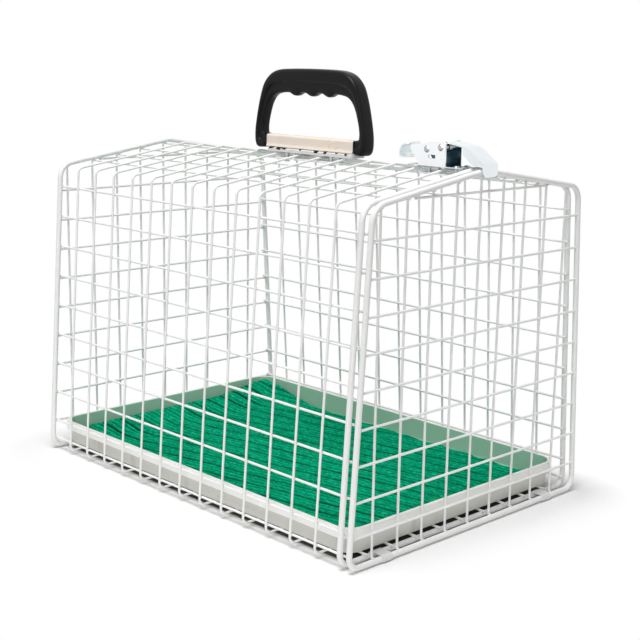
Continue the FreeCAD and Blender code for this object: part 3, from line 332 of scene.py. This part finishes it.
def edge_relief(tree, place, grain):
    """Faint brush lines along the plate."""
    drawn = tree.nodes.new("ShaderNodeMapping")
    drawn.inputs["Scale"].default_value = (1.0, 0.06, 1.0)
    tree.links.new(place.outputs["Object"], drawn.inputs["Vector"])
    lines = tree.nodes.new("ShaderNodeTexNoise")
    lines.inputs["Scale"].default_value = 1500.0
    tree.links.new(drawn.outputs[0], lines.inputs["Vector"])
    return math_node(tree, "ADD", lines.outputs["Fac"], grain)


def dress(node, finish):
    """Give a CAD node its finish."""
    mesh = nodes[node].data
    mesh.materials.clear()
    mesh.materials.append(finish)


wire_coat = material("wire_coat", (0.88, 0.885, 0.88), (0.94, 0.94, 0.925), 0.38, specular=0.15)
# The beads are coloured darker than the wire coat: painted shade at the crossings.
weld_coat = material("weld_coat", (0.66, 0.67, 0.67), (0.82, 0.82, 0.81), 0.45, blotch=120.0,
                     bump=0.4, bump_depth=0.0002)
clip_white = material("clip_white", (0.70, 0.71, 0.71), (0.80, 0.81, 0.81), 0.30, coat=0.4)
tray_gloss = material("tray_gloss", (0.91, 0.91, 0.88), (0.95, 0.95, 0.92), 0.30, blotch=12.0,
                      grain=300.0, bump=0.05, recolour=tray_colours)
mat_green = material("mat_green", (0.001, 0.42, 0.20), (0.004, 0.56, 0.28), 0.9, blotch=90.0,
                     grain=1400.0, bump=0.7, bump_depth=0.0006, specular=0.03,
                     recolour=mat_colours, relief_height=mat_relief)
latch_zinc = material("latch_zinc", (0.88, 0.91, 0.93), (0.97, 0.98, 0.99), 0.26, metallic=1.0,
                      relief_height=edge_relief, bump=0.06, recolour=latch_colours)
# The lever's darker, bluer grey than the housing's zinc is painted shade.
lever_zinc = material("lever_zinc", (0.76, 0.81, 0.83), (0.86, 0.90, 0.91), 0.32, metallic=1.0,
                      relief_height=edge_relief, bump=0.06)
rivet_steel = material("rivet_steel", (0.42, 0.43, 0.45), (0.56, 0.57, 0.59), 0.3, metallic=1.0)
spring_steel = material("spring_steel", (0.45, 0.52, 0.58), (0.62, 0.68, 0.72), 0.30,
                        metallic=1.0)
grip_black = material("grip_black", (0.0045, 0.0045, 0.005), (0.007, 0.007, 0.0075), 0.33,
                      grain=1600.0, bump=0.12, specular=0.14, spread=0.04)
rail_black = material("rail_black", (0.012, 0.012, 0.013), (0.02, 0.02, 0.022), 0.5,
                      specular=0.15, recolour=rail_colours)
wrap_cream = material("wrap_cream", (0.88, 0.76, 0.64), (0.95, 0.86, 0.76), 0.6, blotch=60.0,
                      bump=0.25, bump_depth=0.0002, recolour=wrap_colours)

COATED = ["front_frame", "back_frame", "hoop_wires", "left_side_wires", "right_side_wires",
          "roof_wires", "floor_wires", "back_upright_wires", "back_cross_wires", "door_frame",
          "door_upright_wires", "door_cross_wires"]
FINISHES = [
    (wire_coat, COATED + ["rail_clamp_plate"]),
    (clip_white, ["hinge_clip_left", "hinge_clip_right"]),
    (tray_gloss, ["tray"]),
    (mat_green, ["mat"]),
    (latch_zinc, ["latch_housing", "latch_clamp_plate"]),
    (lever_zinc, ["latch_lever"]),
    (rivet_steel, ["latch_pivot_rivet", "latch_spring_rivet", "latch_clamp_rivets",
                   "handle_pin", "rail_clamp_screws"]),
    (spring_steel, ["latch_spring"]),
    (grip_black, ["handle_grip"]),
    (rail_black, ["handle_rail"]),
    (wrap_cream, ["rail_wrap"]),
]
for finish, names in FINISHES:
    for node in names:
        dress(node, finish)


# New pieces.
def settle(piece, name, body, finish):
    """Name a finished piece, with its place in its mesh, and let it ride on its body."""
    piece.name = name
    piece.data.name = name
    piece.data.transform(piece.matrix_world)
    piece.matrix_world = Matrix.Identity(4)
    piece.data.materials.clear()
    piece.data.materials.append(finish)
    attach(piece, body)


def outward(*direction):
    return Vector(direction).normalized()


def side_x(height, inset):
    return HALF_BOTTOM - TAPER * (height - BAR_Z) - inset * 1.002


def roof_z(across, inset):
    return RIDGE_Z - SLOPE * abs(across) - inset * 1.0122


WELD_FLAT = 1.22
WELD_DEEP = 1.02
BAR_WELD_FLAT = 1.5
BAR_WELD_DEEP = 1.15


def cage_welds():
    """Spots (place, outward direction, radius along the wires, radius across) in mm."""
    spots = []
    middle_in = (LONG_IN + HOOP_IN) / 2
    stations = [(y, middle_in, WELD_FLAT, WELD_DEEP) for y in HOOPS]
    stations += [(y, BAR_R, BAR_WELD_FLAT, BAR_WELD_DEEP) for y in (FRONT_Y, BACK_Y)]
    for y, inset, flat, deep in stations:
        for k, height in enumerate(SIDE_HEIGHTS):
            extra = 0.4 if k == 0 else 0.0
            for sign in (-1, 1):
                spots.append(((sign * (side_x(height, inset) - extra), y, height),
                              outward(sign, 0, TAPER), flat, deep))
        for across in COLUMNS[1:8]:
            lean = 0.0 if abs(across) < 3 else math.copysign(SLOPE, across)
            drop = 0.5 if abs(across) < 3 else 0.0
            spots.append(((across, y, roof_z(across, inset) - drop), outward(lean, 0, 1), flat,
                          deep))
        for across in COLUMNS:
            spots.append(((across, y, BAR_Z + inset), outward(0, 0, -1), flat, deep))
    spots += panel_welds(BACK_Y + LONG_IN, BACK_Y, 1)
    return spots


def panel_welds(row_y, bar_y, facing):
    """Welds of a flat panel: rows at row_y, uprights beyond them, ends on the frame's bar."""
    spots = []
    normal = outward(0, facing, 0)
    upright_y = row_y + WIRE_STEP
    lap = BAR_R + 0.12
    for k, height in enumerate(ROWS):
        if k < 9:
            reach = HALF_BOTTOM - TAPER * (height - BAR_Z) - lap * 1.03
        else:
            reach = (RIDGE_Z - height - WIRE_R - lap * 1.03) / SLOPE
        for across in COLUMNS:
            if abs(across) < reach:
                spots.append(((across, row_y + WIRE_STEP / 2, height), normal, WELD_FLAT,
                              WELD_DEEP))
        for sign in (-1, 1):
            spots.append(((sign * (reach + 0.1), (row_y + bar_y) / 2, height), normal,
                          BAR_WELD_DEEP, 1.3 + abs(row_y - bar_y) * 0.25))
    for across in COLUMNS:
        for height in (BAR_Z + lap, RIDGE_Z - SLOPE * abs(across) - lap * 1.03):
            spots.append(((across, (upright_y + bar_y) / 2, height), normal, BAR_WELD_DEEP,
                          1.2 + abs(upright_y - bar_y) * 0.3))
    return spots


def weld_bead():
    """One bead of coating over a weld: a ball pressed flat on the two sides that show."""
    bpy.ops.object.select_all(action="DESELECT")
    bpy.ops.mesh.primitive_uv_sphere_add(segments=8, ring_count=6, radius=1.0)
    bead = bpy.context.object
    for vert in bead.data.vertices:
        vert.select = abs(vert.co.z) > 0.95
    bpy.context.tool_settings.mesh_select_mode = (True, False, False)
    bpy.ops.object.mode_set(mode="EDIT")
    bpy.ops.transform.resize(value=(1.0, 1.0, 0.93))
    bpy.ops.object.mode_set(mode="OBJECT")
    return bead


def add_welds(name, body, spots):
    """All the beads of one body as one piece, each a copy of the first."""
    bead = weld_bead()
    mesh = bmesh.new()
    for number, (place, normal, flat, deep) in enumerate(spots):
        start = len(mesh.verts)
        mesh.from_mesh(bead.data)
        mesh.verts.ensure_lookup_table()
        grow = MM * (1.0 + 0.13 * noise.noise(Vector((number * 3.7, 0.31, 0.0))))
        size = Matrix.Diagonal((flat * grow, flat * grow, deep * grow, 1.0))
        turn = normal.to_track_quat("Z", "Y").to_matrix().to_4x4()
        move = Matrix.Translation(Vector(place) * MM) @ turn @ size
        for vert in mesh.verts[start:]:
            vert.co = move @ vert.co
    mesh.to_mesh(bead.data)
    mesh.free()
    bead.data.shade_smooth()
    settle(bead, name, body, weld_coat)


add_welds("cage_weld_beads", "cage", cage_welds())
add_welds("door_weld_beads", "door", panel_welds(DOOR_Y, DOOR_Y, 1))


# Mat: a ribbed pile cloth laid in the tray, its rear corner pushed up the walls.
RIB_TURN = math.radians(-11.0)
RIB_STEP = 16.5
mat_low, mat_high = (Vector(corner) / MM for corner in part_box("mat"))
MAT_MIDDLE = (mat_low + mat_high) / 2
MAT_HALF_X = (mat_high.x - mat_low.x) / 2 - 0.2
MAT_HALF_Y = (mat_high.y - mat_low.y) / 2 - 0.2
MAT_CORNER = 7.0


def smooth_step(value, low, high):
    share = min(max((value - low) / (high - low), 0.0), 1.0)
    return share * share * (3 - 2 * share)


def wander(x, y, size, seed):
    return noise.noise(Vector((x / size, y / size, seed)))


def furrow_depth(x, y):
    """How deep the furrow is at a place of the mat, 0 on a rib and 1 in a deep furrow."""
    across = x * math.cos(RIB_TURN) - y * math.sin(RIB_TURN)
    across += 3.2 * wander(x, y, 70.0, 1.7) + 1.1 * wander(x, y, 21.0, 8.2)
    deepest = 0.0
    for step, weight, width, seed in ((RIB_STEP, 1.0, 1.9, 3.0), (RIB_STEP / 3, 0.74, 1.15, 9.0)):
        rib = math.floor(across / step + 0.5)
        away = across - rib * step
        along = wander(rib * 17.0, y * 0.45, 20.0, seed)
        strength = weight * min(max(0.86 + 0.6 * along, 0.55), 1.0)
        deepest = max(deepest, strength * math.exp(-(away / width) ** 2))
    return deepest


def corner_lift(x, y):
    """How far the rear right corner rides up the tray's walls."""
    to_right = smooth_step(x, MAT_HALF_X - 24, MAT_HALF_X - 1)
    to_right *= smooth_step(y, MAT_HALF_Y - 88, MAT_HALF_Y - 4) ** 1.2
    to_back = smooth_step(y, MAT_HALF_Y - 42, MAT_HALF_Y - 1)
    to_back *= 0.5 + 0.5 * smooth_step(x, MAT_HALF_X - 70, MAT_HALF_X - 6) ** 1.2
    return 13.2 * max(to_right, to_back)


def within_corners(x, y):
    """A place pulled in where the mat's corners are round, with a slightly uneven edge."""
    uneven = 0.7 * wander(x, y, 9.0, 5.0)
    half_x = MAT_HALF_X - 0.7 + uneven * (abs(x) > MAT_HALF_X - 3)
    half_y = MAT_HALF_Y - 0.7 + uneven * (abs(y) > MAT_HALF_Y - 3)
    x = min(max(x, -half_x), half_x)
    y = min(max(y, -half_y), half_y)
    beyond = Vector((abs(x) - (half_x - MAT_CORNER), abs(y) - (half_y - MAT_CORNER)))
    if beyond.x > 0 and beyond.y > 0 and beyond.length > MAT_CORNER:
        beyond = beyond.normalized() * MAT_CORNER
        x = math.copysign(half_x - MAT_CORNER + beyond.x, x)
        y = math.copysign(half_y - MAT_CORNER + beyond.y, y)
    return x, y


def grid(name, columns, rows):
    """A flat grid, one metre across, ready to be shaped."""
    bpy.ops.object.select_all(action="DESELECT")
    bpy.ops.mesh.primitive_grid_add(x_subdivisions=columns, y_subdivisions=rows, size=1.0)
    piece = bpy.context.object
    piece.name = name
    return piece


def extrude_all(piece):
    """Pull a second skin off the whole of a flat piece; returns the old vertices' count."""
    count = len(piece.data.vertices)
    bpy.ops.object.mode_set(mode="EDIT")
    bpy.ops.mesh.select_all(action="SELECT")
    bpy.ops.mesh.extrude_region_move(TRANSFORM_OT_translate={"value": (0, 0, -0.001)})
    bpy.ops.object.mode_set(mode="OBJECT")
    return count


def face_outward(piece):
    bpy.ops.object.mode_set(mode="EDIT")
    bpy.ops.mesh.select_all(action="SELECT")
    bpy.ops.mesh.normals_make_consistent(inside=False)
    bpy.ops.object.mode_set(mode="OBJECT")


def add_mat():
    piece = grid("mat_cloth", 200, 80)
    extrude_all(piece)
    # The furrow attribute is the mask for painted shade in the furrows.
    furrows = piece.data.attributes.new("furrow", "FLOAT", "POINT")
    floor_z = mat_low.z + 0.05
    for vert in piece.data.vertices:
        upper = vert.co.z > -0.0005
        x, y = within_corners(vert.co.x * 2 * MAT_HALF_X, vert.co.y * 2 * MAT_HALF_Y)
        depth = furrow_depth(x, y)
        rise = corner_lift(x, y)
        inset = min(MAT_HALF_X - abs(x), MAT_HALF_Y - abs(y))
        rounding = 1.0 - 0.7 * (1.0 - smooth_step(inset, 0.0, 2.4))
        pile = 0.25 * wander(x, y, 2.1, 4.4) + 0.35 * wander(x, y, 14.0, 6.1)
        thick = (3.1 + pile - 2.1 * depth) * rounding
        height = floor_z + rise + (thick if upper else 0.0)
        vert.co = Vector((x + MAT_MIDDLE.x, y + MAT_MIDDLE.y, height)) * MM
        # Painted shade mask: the furrows, and a dark band along the mat's edge.
        furrows.data[vert.index].value = max(depth, 0.9 * (1.0 - smooth_step(inset, 0.0, 1.2)))
    face_outward(piece)
    piece.data.shade_smooth()
    settle(piece, "mat_cloth", "mat", mat_green)
    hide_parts("mat")


add_mat()

# Carrying handle: pairs of guide points on the outer and inner edge of its loop, from the toe
# of a foot up to the middle of the grip, as places along the crate and above the ridge.
GRIP_MIDDLE = -6.9
GRIP_OUTER = [(50.0, 2.7), (55.0, 1.7), (61.8, 2.0), (63.0, 14.0), (60.2, 29.0), (56.8, 43.0),
              (51.5, 57.0), (40.0, 65.0), (21.0, 66.0), (0.0, 66.2)]
GRIP_INNER = [(50.0, 13.2), (52.5, 13.5), (55.2, 14.2), (55.7, 20.0), (53.4, 29.0), (49.8, 38.0),
              (44.0, 44.6), (34.0, 47.0), (17.0, 47.2), (0.0, 47.2)]
GRIP_HALF = 6.4
GRIP_TOES = {1: 48.9, -1: 51.3}
GRIP_STEPS = 170
FINGER_BUMPS = (-20.2, -1.4, 17.4)
FINGER_REACH = 8.2
FINGER_DEPTH = 2.6
# Section of the loop: share of the way in from the outer edge, share of the half thickness.
# The outer half is a thick band, the inner half a thinner web.
GRIP_SECTION = [(0.0, 0.0), (0.0, 0.45), (0.015, 0.72), (0.07, 0.92), (0.16, 1.0), (0.30, 1.0),
                (0.45, 1.0), (0.505, 0.95), (0.53, 0.84), (0.555, 0.75), (0.62, 0.72),
                (0.75, 0.72), (0.88, 0.69), (0.955, 0.58), (0.99, 0.38), (1.0, 0.0)]
GRIP_RING = GRIP_SECTION + [(inward, -half) for inward, half in GRIP_SECTION[-2:0:-1]]
PIN_UP = 9.2
PIN_BORE = 2.56


def grip_guides(points):
    """Guide points of the whole loop, from the rear foot over the grip to the front foot."""
    rear = [Vector(points[0])] + [Vector(point) for point in points[1:]]
    rear[0].x = GRIP_TOES[1]
    front = [Vector((-point.x, point.y)) for point in rear[-2::-1]]
    front[-1].x = -GRIP_TOES[-1]
    return rear + front


def soft_curve(guides, share):
    """A place on the smooth curve that the guides lead, touching each middle between two."""
    pieces = len(guides) - 2
    run = min(share * pieces, pieces - 1e-6)
    k = int(run)
    part = run - k
    start = guides[0] if k == 0 else (guides[k] + guides[k + 1]) / 2
    end = guides[-1] if k == pieces - 1 else (guides[k + 1] + guides[k + 2]) / 2
    bend = guides[k + 1]
    return start * (1 - part) ** 2 + bend * 2 * part * (1 - part) + end * part ** 2


def finger_bump(along):
    """How far the grip's underside comes down between the fingers."""
    down = 0.0
    for middle in FINGER_BUMPS:
        away = abs(along - middle) / FINGER_REACH
        if away < 1:
            down = max(down, FINGER_DEPTH * math.cos(away * math.pi / 2) ** 2)
    return down


def add_grip():
    piece = grid("handle_grip_moulded", GRIP_STEPS, len(GRIP_RING))
    outer, inner = grip_guides(GRIP_OUTER), grip_guides(GRIP_INNER)
    for vert in piece.data.vertices:
        share = vert.co.x + 0.5
        ring = round((vert.co.y + 0.5) * len(GRIP_RING)) % len(GRIP_RING)
        inward, half = GRIP_RING[ring]
        edge, far = soft_curve(outer, share), soft_curve(inner, share)
        to_end = min(share, 1 - share)
        full = 0.80 + 0.20 * math.sqrt(smooth_step(to_end, 0.0, 0.012))
        inward = 0.5 + (inward - 0.5) * full
        spot = edge.lerp(far, inward)
        if far.y > 40:
            spot.y -= finger_bump(far.x) * smooth_step(inward, 0.58, 1.0)
        vert.co = Vector((half * full * GRIP_HALF, spot.x + GRIP_MIDDLE, spot.y + RIDGE_Z)) * MM
    bpy.ops.object.mode_set(mode="EDIT")
    bpy.ops.mesh.select_all(action="SELECT")
    bpy.ops.mesh.remove_doubles(threshold=0.000001)
    bpy.ops.mesh.fill_holes(sides=0)
    bpy.ops.object.mode_set(mode="OBJECT")
    face_outward(piece)
    bore_grip(piece)
    bpy.ops.object.shade_smooth_by_angle(angle=math.radians(50))
    settle(piece, "handle_grip_moulded", "handle", grip_black)
    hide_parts("handle_grip")


def bore_grip(piece):
    """The two blind bores that the pin's ends sit in."""
    pin_low, pin_high = (Vector(corner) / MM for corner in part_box("handle_pin"))
    depth = pin_high.y - pin_low.y + 0.4
    bpy.ops.object.select_all(action="DESELECT")
    bpy.ops.mesh.primitive_cylinder_add(
        vertices=32, radius=PIN_BORE * MM, depth=depth * MM, rotation=(math.pi / 2, 0, 0),
        location=(0, (pin_high.y + pin_low.y) / 2 * MM, (RIDGE_Z + PIN_UP) * MM))
    drill = bpy.context.object
    bore = piece.modifiers.new("bore", "BOOLEAN")
    bore.operation = "DIFFERENCE"
    bore.object = drill
    bpy.ops.object.select_all(action="DESELECT")
    piece.select_set(True)
    bpy.context.view_layer.objects.active = piece
    bpy.ops.object.modifier_apply(modifier="bore")
    bpy.data.objects.remove(drill)


add_grip()

# Wrap: a thin creased sleeve folded over the handle's rail.
wrap_low, wrap_high = (Vector(corner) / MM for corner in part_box("rail_wrap"))
WRAP_LINE = [(0.0, 12.95), (5.15, 12.95), (5.15, 5.2), (6.1, 3.2)]
WRAP_ENDS = (wrap_low.y - 0.4, wrap_high.y + 4.2)
WRAP_RUNS = [math.dist(a, b) for a, b in zip(WRAP_LINE, WRAP_LINE[1:])]
WRAP_FLAT = 2 * sum(WRAP_RUNS)


def wrap_line_at(run):
    """Place on half of the fold, from its top middle down one side."""
    run = min(abs(run), sum(WRAP_RUNS))
    for (start, end), length in zip(zip(WRAP_LINE, WRAP_LINE[1:]), WRAP_RUNS):
        if run <= length:
            break
        run -= length
    return Vector(start).lerp(Vector(end), min(run / length, 1.0))


def wrap_profile(share):
    """Place across the rail and height, and the way out, for a share of the way round."""
    run = (share - 0.5) * WRAP_FLAT
    spot = sum((wrap_line_at(abs(run) + step) for step in (-1.1, -0.55, 0.0, 0.55, 1.1)),
               Vector((0.0, 0.0))) / 5
    along = wrap_line_at(abs(run) + 0.8) - wrap_line_at(max(abs(run) - 0.8, 0.0))
    normal = Vector((-along.y, along.x)).normalized()
    side = math.copysign(1.0, run)
    return Vector((spot.x * side, spot.y + RIDGE_Z)), Vector((normal.x * side, normal.y))


def add_wrap():
    piece = grid("rail_wrap_sheet", 44, 110)
    extrude_all(piece)
    creases = piece.data.attributes.new("furrow", "FLOAT", "POINT")
    low_end, high_end = WRAP_ENDS
    length = high_end - low_end
    middle = (high_end + low_end) / 2
    for vert in piece.data.vertices:
        upper = vert.co.z > -0.0005
        share, along = vert.co.x + 0.5, vert.co.y * length
        spot, normal = wrap_profile(share)
        around = share * WRAP_FLAT
        fold = wander(around * 1.6 + along * 0.5, along, 9.0, 2.2)
        crease = math.exp(-(fold / 0.05) ** 2) * min(max(wander(around, along, 13, 7), 0) * 3, 1)
        end = 1.0 - smooth_step(length / 2 - abs(along), 0.0, 1.2)
        puff = 0.16 + 0.16 * wander(along, around * 0.8, 16.0, 1.0) - 0.14 * crease + 0.12 * end
        skin = 0.38 if upper else 0.0
        spot = spot + normal * (puff * 0.5 + skin - 0.3)
        if share < 0.02 or share > 0.98:
            spot.y += 0.5 * wander(along, share, 12.0, 3.0) - 0.2
        vert.co = Vector((spot.x, along + middle, spot.y)) * MM
        # The furrow attribute here marks painted shade along the creases.
        creases.data[vert.index].value = min(0.55 * crease, 1.0)
    face_outward(piece)
    piece.data.shade_smooth()
    settle(piece, "rail_wrap_sheet", "cage", wrap_cream)
    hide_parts("rail_wrap")


add_wrap()

# Latch spring: a wound coil with a leg on the base and one under the lever.
COIL_TURNS = 5
COIL_RADIUS = 2.02
SPRING_WIRE_R = 0.35


def add_spring():
    centre = Vector((0.0, FRONT_Y + 25.0, RIDGE_Z + 14.2))
    start_x, end_x = 1.6, -1.6
    points = [Vector((start_x, 18.8, -2.07 - 2.8)), Vector((start_x, 9.4, -2.07 - 1.4)),
              Vector((start_x, 1.2, -2.07 - 0.12))]
    steps = COIL_TURNS * 20 + 15
    for i in range(steps + 1):
        angle = math.radians(-90.0 - 18.0 * i)
        x = start_x + (end_x - start_x) * i / steps
        points.append(Vector((x, COIL_RADIUS * math.cos(angle), COIL_RADIUS * math.sin(angle))))
    points += [Vector((end_x, 2.07, -5.0)), Vector((end_x, 2.07, -12.8))]
    curve = bpy.data.curves.new("spring_line", "CURVE")
    curve.dimensions = "3D"
    curve.bevel_depth = SPRING_WIRE_R * MM
    curve.bevel_resolution = 2
    curve.use_fill_caps = True
    line = curve.splines.new("POLY")
    line.points.add(len(points) - 1)
    for point, spot in zip(line.points, points):
        point.co = (*((spot + centre) * MM), 1.0)
    wound = bpy.data.objects.new("spring_line", curve)
    bpy.context.scene.collection.objects.link(wound)
    bpy.ops.object.select_all(action="DESELECT")
    wound.select_set(True)
    bpy.context.view_layer.objects.active = wound
    bpy.ops.object.convert(target="MESH")
    piece = bpy.context.object
    piece.data.shade_smooth()
    settle(piece, "latch_spring_coil", "cage", spring_steel)
    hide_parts("latch_spring")


add_spring()


# Floor, world and lamps.
FLOOR_HALF = (0.112, 0.176)
FLOOR_RADIUS = 0.8
SHADE_FROM = 0.024
SHADE_TO = 0.060


def floor_finish():
    """A pale matte floor, painted dark under the crate as shadow; away from the crate the camera
    sees it as plain white.
    """
    mat = bpy.data.materials.new("floor_white")
    mat.use_nodes = True
    tree = mat.node_tree
    link = tree.links.new
    shader = tree.nodes["Principled BSDF"]
    shader.inputs["Roughness"].default_value = 0.9
    shader.inputs["Specular IOR Level"].default_value = 0.1
    glow = tree.nodes.new("ShaderNodeEmission")
    glow.inputs["Strength"].default_value = 1.0
    place = tree.nodes.new("ShaderNodeTexCoord")
    spot = split(tree, place.outputs["Object"])
    beyond = []
    for label, half in zip("XY", FLOOR_HALF):
        away = math_node(tree, "SUBTRACT", math_node(tree, "ABSOLUTE", spot[label]), half)
        away = math_node(tree, "MAXIMUM", away, 0.0)
        beyond.append(math_node(tree, "MULTIPLY", away, away))
    away = math_node(tree, "SQRT", math_node(tree, "ADD", *beyond))
    share = between(tree, away, SHADE_FROM, SHADE_TO)
    # Painted shadow: the floor's colour is dark within the crate's footprint.
    under = between(tree, away, 0.002, 0.0)
    link(blend_colours(tree, under, (0.95, 0.95, 0.95), (0.16, 0.15, 0.14)),
         shader.inputs["Base Color"])
    rays = tree.nodes.new("ShaderNodeLightPath")
    seen = math_node(tree, "MAXIMUM", rays.outputs["Is Camera Ray"], rays.outputs["Is Glossy Ray"])
    mix = tree.nodes.new("ShaderNodeMixShader")
    link(math_node(tree, "MULTIPLY", seen, share), mix.inputs["Fac"])
    link(shader.outputs["BSDF"], mix.inputs[1])
    link(glow.outputs["Emission"], mix.inputs[2])
    link(mix.outputs["Shader"], tree.nodes["Material Output"].inputs["Surface"])
    return mat


def add_floor():
    bpy.ops.object.select_all(action="DESELECT")
    bpy.ops.mesh.primitive_circle_add(vertices=64, radius=FLOOR_RADIUS, fill_type="NGON",
                                      location=(0, 0, -0.0002))
    floor = bpy.context.object
    floor.name = "floor"
    floor.data.transform(floor.matrix_world)
    floor.matrix_world = Matrix.Identity(4)
    floor.data.materials.append(floor_finish())


def add_world():
    world = bpy.data.worlds.new("studio")
    bpy.context.scene.world = world
    world.use_nodes = True
    tree = world.node_tree
    link = tree.links.new
    ground = tree.nodes["Background"]
    ground.inputs["Color"].default_value = (1.0, 1.0, 1.0, 1.0)
    ground.inputs["Strength"].default_value = 0.17
    bright = tree.nodes.new("ShaderNodeBackground")
    bright.inputs["Color"].default_value = (1.0, 1.0, 1.0, 1.0)
    bright.inputs["Strength"].default_value = 1.0
    rays = tree.nodes.new("ShaderNodeLightPath")
    seen = math_node(tree, "MAXIMUM", rays.outputs["Is Camera Ray"], rays.outputs["Is Glossy Ray"])
    mix = tree.nodes.new("ShaderNodeMixShader")
    link(seen, mix.inputs["Fac"])
    link(ground.outputs["Background"], mix.inputs[1])
    link(bright.outputs["Background"], mix.inputs[2])
    link(mix.outputs["Shader"], tree.nodes["World Output"].inputs["Surface"])


def add_lamp(name, place, target, size, power):
    data = bpy.data.lights.new(name, "AREA")
    data.size = size
    data.energy = power
    lamp = bpy.data.objects.new(name, data)
    bpy.context.scene.collection.objects.link(lamp)
    lamp.location = place
    lamp.rotation_euler = (Vector(target) - Vector(place)).to_track_quat("-Z", "Y").to_euler()


add_floor()
add_world()
add_lamp("key_lamp", (-0.60, -0.25, 2.1), (0, 0, 0.12), 1.0, 39.0)
add_lamp("fill_lamp", (-1.6, -1.7, 0.9), (0, 0, 0.12), 1.0, 10.0)

bpy.context.scene.view_settings.view_transform = "Standard"
